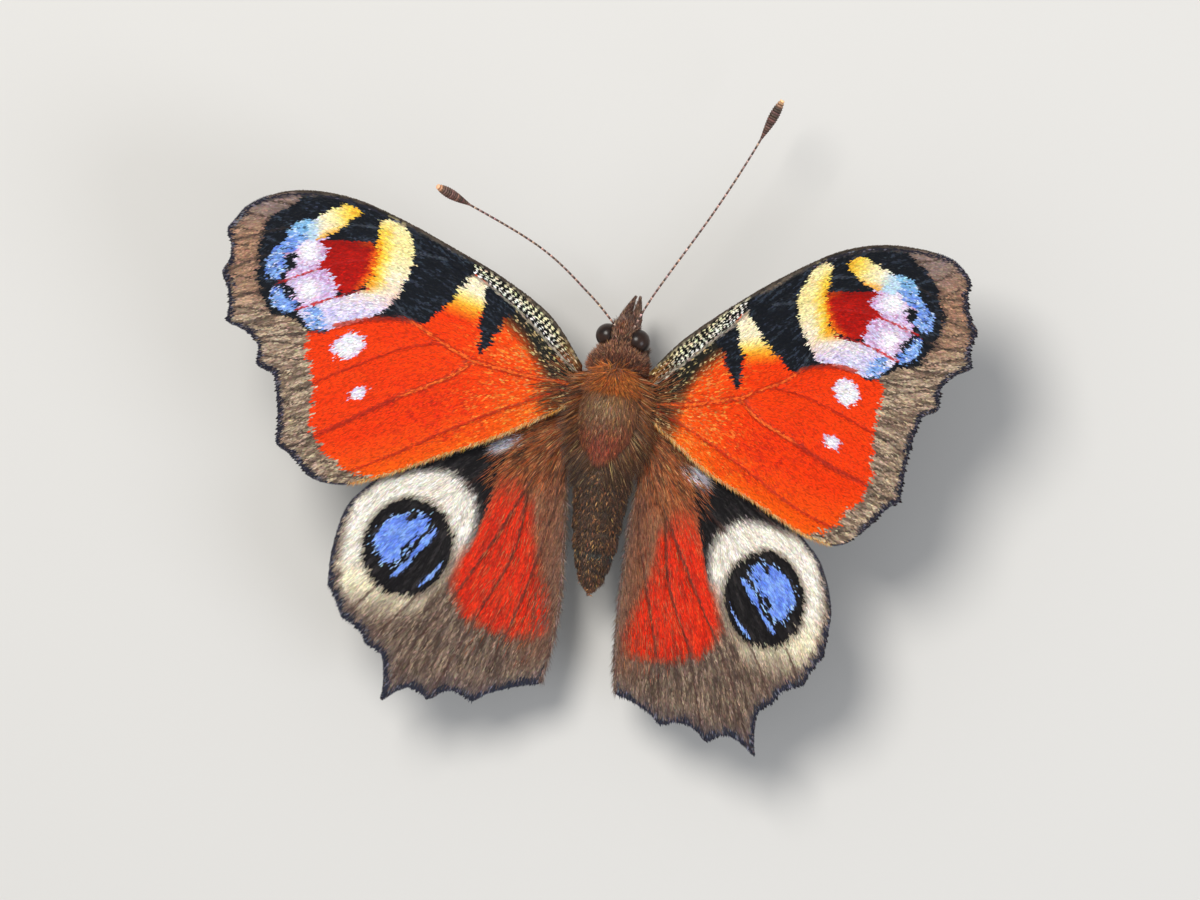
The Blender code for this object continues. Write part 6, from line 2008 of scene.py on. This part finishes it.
def inner_margin(wing, spots):
    """Which places of an edge belong to the rear margin of the forewing or the body side of the hindwing."""
    u, v = wing["to_left"](spots).T
    return (v < -2.2) & (u < 16.4) & (v < -1.2 - 0.5 * u) if wing["kind"] == "forewing" else (u < 1.5) & (v > -21.8)


def fringe(wing, rng):
    """Fringe scales along the front and outer edges."""
    loop = even_loop(wing["tips"], FRINGE_STEP)
    outward, left = outward_of(loop), wing["to_left"](loop)
    keep = (np.hypot(left[:, 0], left[:, 1] + 1.5) > 2.0) & ~inner_margin(wing, loop)
    loop, outward, (u, v) = loop[keep], outward[keep], left[keep].T
    forewing = wing["kind"] == "forewing"
    front = (v > 0.5) & (u < 26) if forewing else v > -8.0
    mix = 0.45 + 1.6 * front[:, None]
    lie = unit(outward + mix * lie_field(loop, wing) + rng.normal(0, 0.1, loop.shape))
    length = FRINGE_LENGTH * rng.uniform(0.85, 1.05, len(loop)) * np.where(front, 0.8, 1.0)
    over = np.where(front, -0.04, 0.0) + rng.normal(0, 0.02, len(loop))
    spots = loop + outward * over[:, None] - lie * length[:, None]
    dark = fleck(np.tile(np.array((40, 40, 52), float), (len(spots), 1)), rng, 0.2, (112, 108, 120))
    colours = np.where(front[:, None], (74, 64, 56) if forewing else (46, 42, 44), dark)
    size = np.column_stack([length, rng.uniform(0.055, 0.08, len(spots)), np.full(len(spots), 0.04)])
    lift = np.radians(rng.normal(2, 3, len(spots)))
    keep = depth_in(spots, wing["edge"]) > 0.02
    return wing_roots(wing, spots[keep], lie[keep], 1, lift[keep], size[keep], vary(colours[keep], rng, 0.14, 0.04), rng)


def margin_hair(wing, rng):
    """Fine hair that combs out past the inner margin: pale gold on the forewing, grey-brown on the hindwing."""
    loop = even_loop(wing["tips"], FRINGE_STEP / 2)
    outward = outward_of(loop)
    keep = inner_margin(wing, loop) & (np.hypot(*(wing["to_left"](loop) + (0, 1.5)).T) > 2.0)
    loop, outward = loop[keep], outward[keep]
    forewing = wing["kind"] == "forewing"
    spread = rng.uniform(0.3, 1.0, (len(loop), 1)) if forewing else rng.uniform(0.15, 0.75, (len(loop), 1))
    lie = unit(outward * spread + lie_field(loop, wing) * 0.8 + rng.normal(0, 0.1, loop.shape))
    spots = loop - outward * rng.uniform(0.14, 0.5, (len(loop), 1))
    length = rng.uniform(0.25, 0.6, len(loop)) * (1.0 if forewing else 1.7)
    width = np.full(len(loop), 0.033)
    base, other = ((240, 150, 60), (240, 222, 170)) if forewing else ((120, 92, 78), (172, 152, 140))
    colours = fleck(np.tile(np.array(base, float), (len(loop), 1)), rng, 0.5 if forewing else 0.35, other)
    lift = np.radians(rng.uniform(-2, 6, len(loop)))
    return wing_roots(wing, spots, lie, 1, lift, np.column_stack([length, width, width]), vary(colours, rng), rng)


def root_hair(wing, count, rng):
    """Hair over the wing's root and, on the hindwing, fine gold hair over its inner half."""
    forewing = wing["kind"] == "forewing"
    reach, back = (6.0, -7.5) if forewing else (7.6, -21.0)
    spots = np.column_stack([rng.uniform(-0.6, reach, count * 5), rng.uniform(back, 2.6, count * 5)])
    spots = spots[depth_in(spots, wing["edge"]) > 0.1]
    u, v = spots.T
    if forewing:
        chance = np.clip(1.1 - np.hypot(u, v + 2.4) / 3.0, 0, 1)
    else:
        chance = np.clip((v + 8.0) / 4.0, 0, 1) + 0.17 + np.clip((2.2 - u) / 1.8, 0, 0.6)
        chance = chance * np.clip((6.7 - u) / 1.3, 0, 1) * np.clip((v + 20.5) / 3, 0, 1)
    spots = spots[rng.random(len(spots)) < chance][:count]
    u, v = spots.T
    lie = unit(lie_field(spots, wing) + rng.normal(0, 0.1, spots.shape))
    mix = rng.random((len(spots), 1))
    near_root = np.clip((v + 9.0) / 4, 0, 1)[:, None]
    colours = np.where(mix < 0.5, (170, 86, 40), np.where(mix < 0.64, (210, 150, 96), (80, 52, 36))).astype(float)
    if forewing:
        colours = lay(colours, np.full(len(spots), 0.25), (110, 84, 46))
        length = rng.uniform(0.8, 1.5, len(spots))
    else:
        gold = np.where(mix < 0.5, (206, 122, 76), (140, 54, 34))
        colours = colours * near_root + gold * (1 - near_root)
        colours = lay(colours, 0.85 * np.clip((1.9 - u) / 1.4, 0, 1) * np.clip((-4.0 - v) / 4, 0, 1), (142, 112, 96))
        colours = lay(colours, 0.8 * soft(in_ellipse(spots, *PALE_TUFT) - 0.1, 0.3), (214, 220, 240))
        length = rng.uniform(0.8, 1.4, len(spots))
    width = np.where(near_root[:, 0] > 0.5, 0.05, 0.032)
    size = np.column_stack([length, width, width])
    lift = np.radians(rng.uniform(2, 9, len(spots)))
    return wing_roots(wing, spots, lie, 1, lift, size, vary(colours, rng, 0.14, 0.04), rng)


ROOT_HAIRS = {"forewing": 900, "hindwing": 3600}
for number, ((kind, side), wing) in enumerate(wings.items()):
    rng = np.random.default_rng(90 + number)
    grow_coat(f"{kind}_fringe_{side}", fringe(wing, rng), SCALE, SCALE_FINISH, smooth=False)
    hair = join_roots(root_hair(wing, ROOT_HAIRS[kind], rng), margin_hair(wing, rng))
    grow_coat(f"{kind}_hair_{side}", hair, WING_HAIR, HAIR_FINISH)

for pattern in (HAIR, SCALE, WING_HAIR):
    bpy.data.objects.remove(pattern)
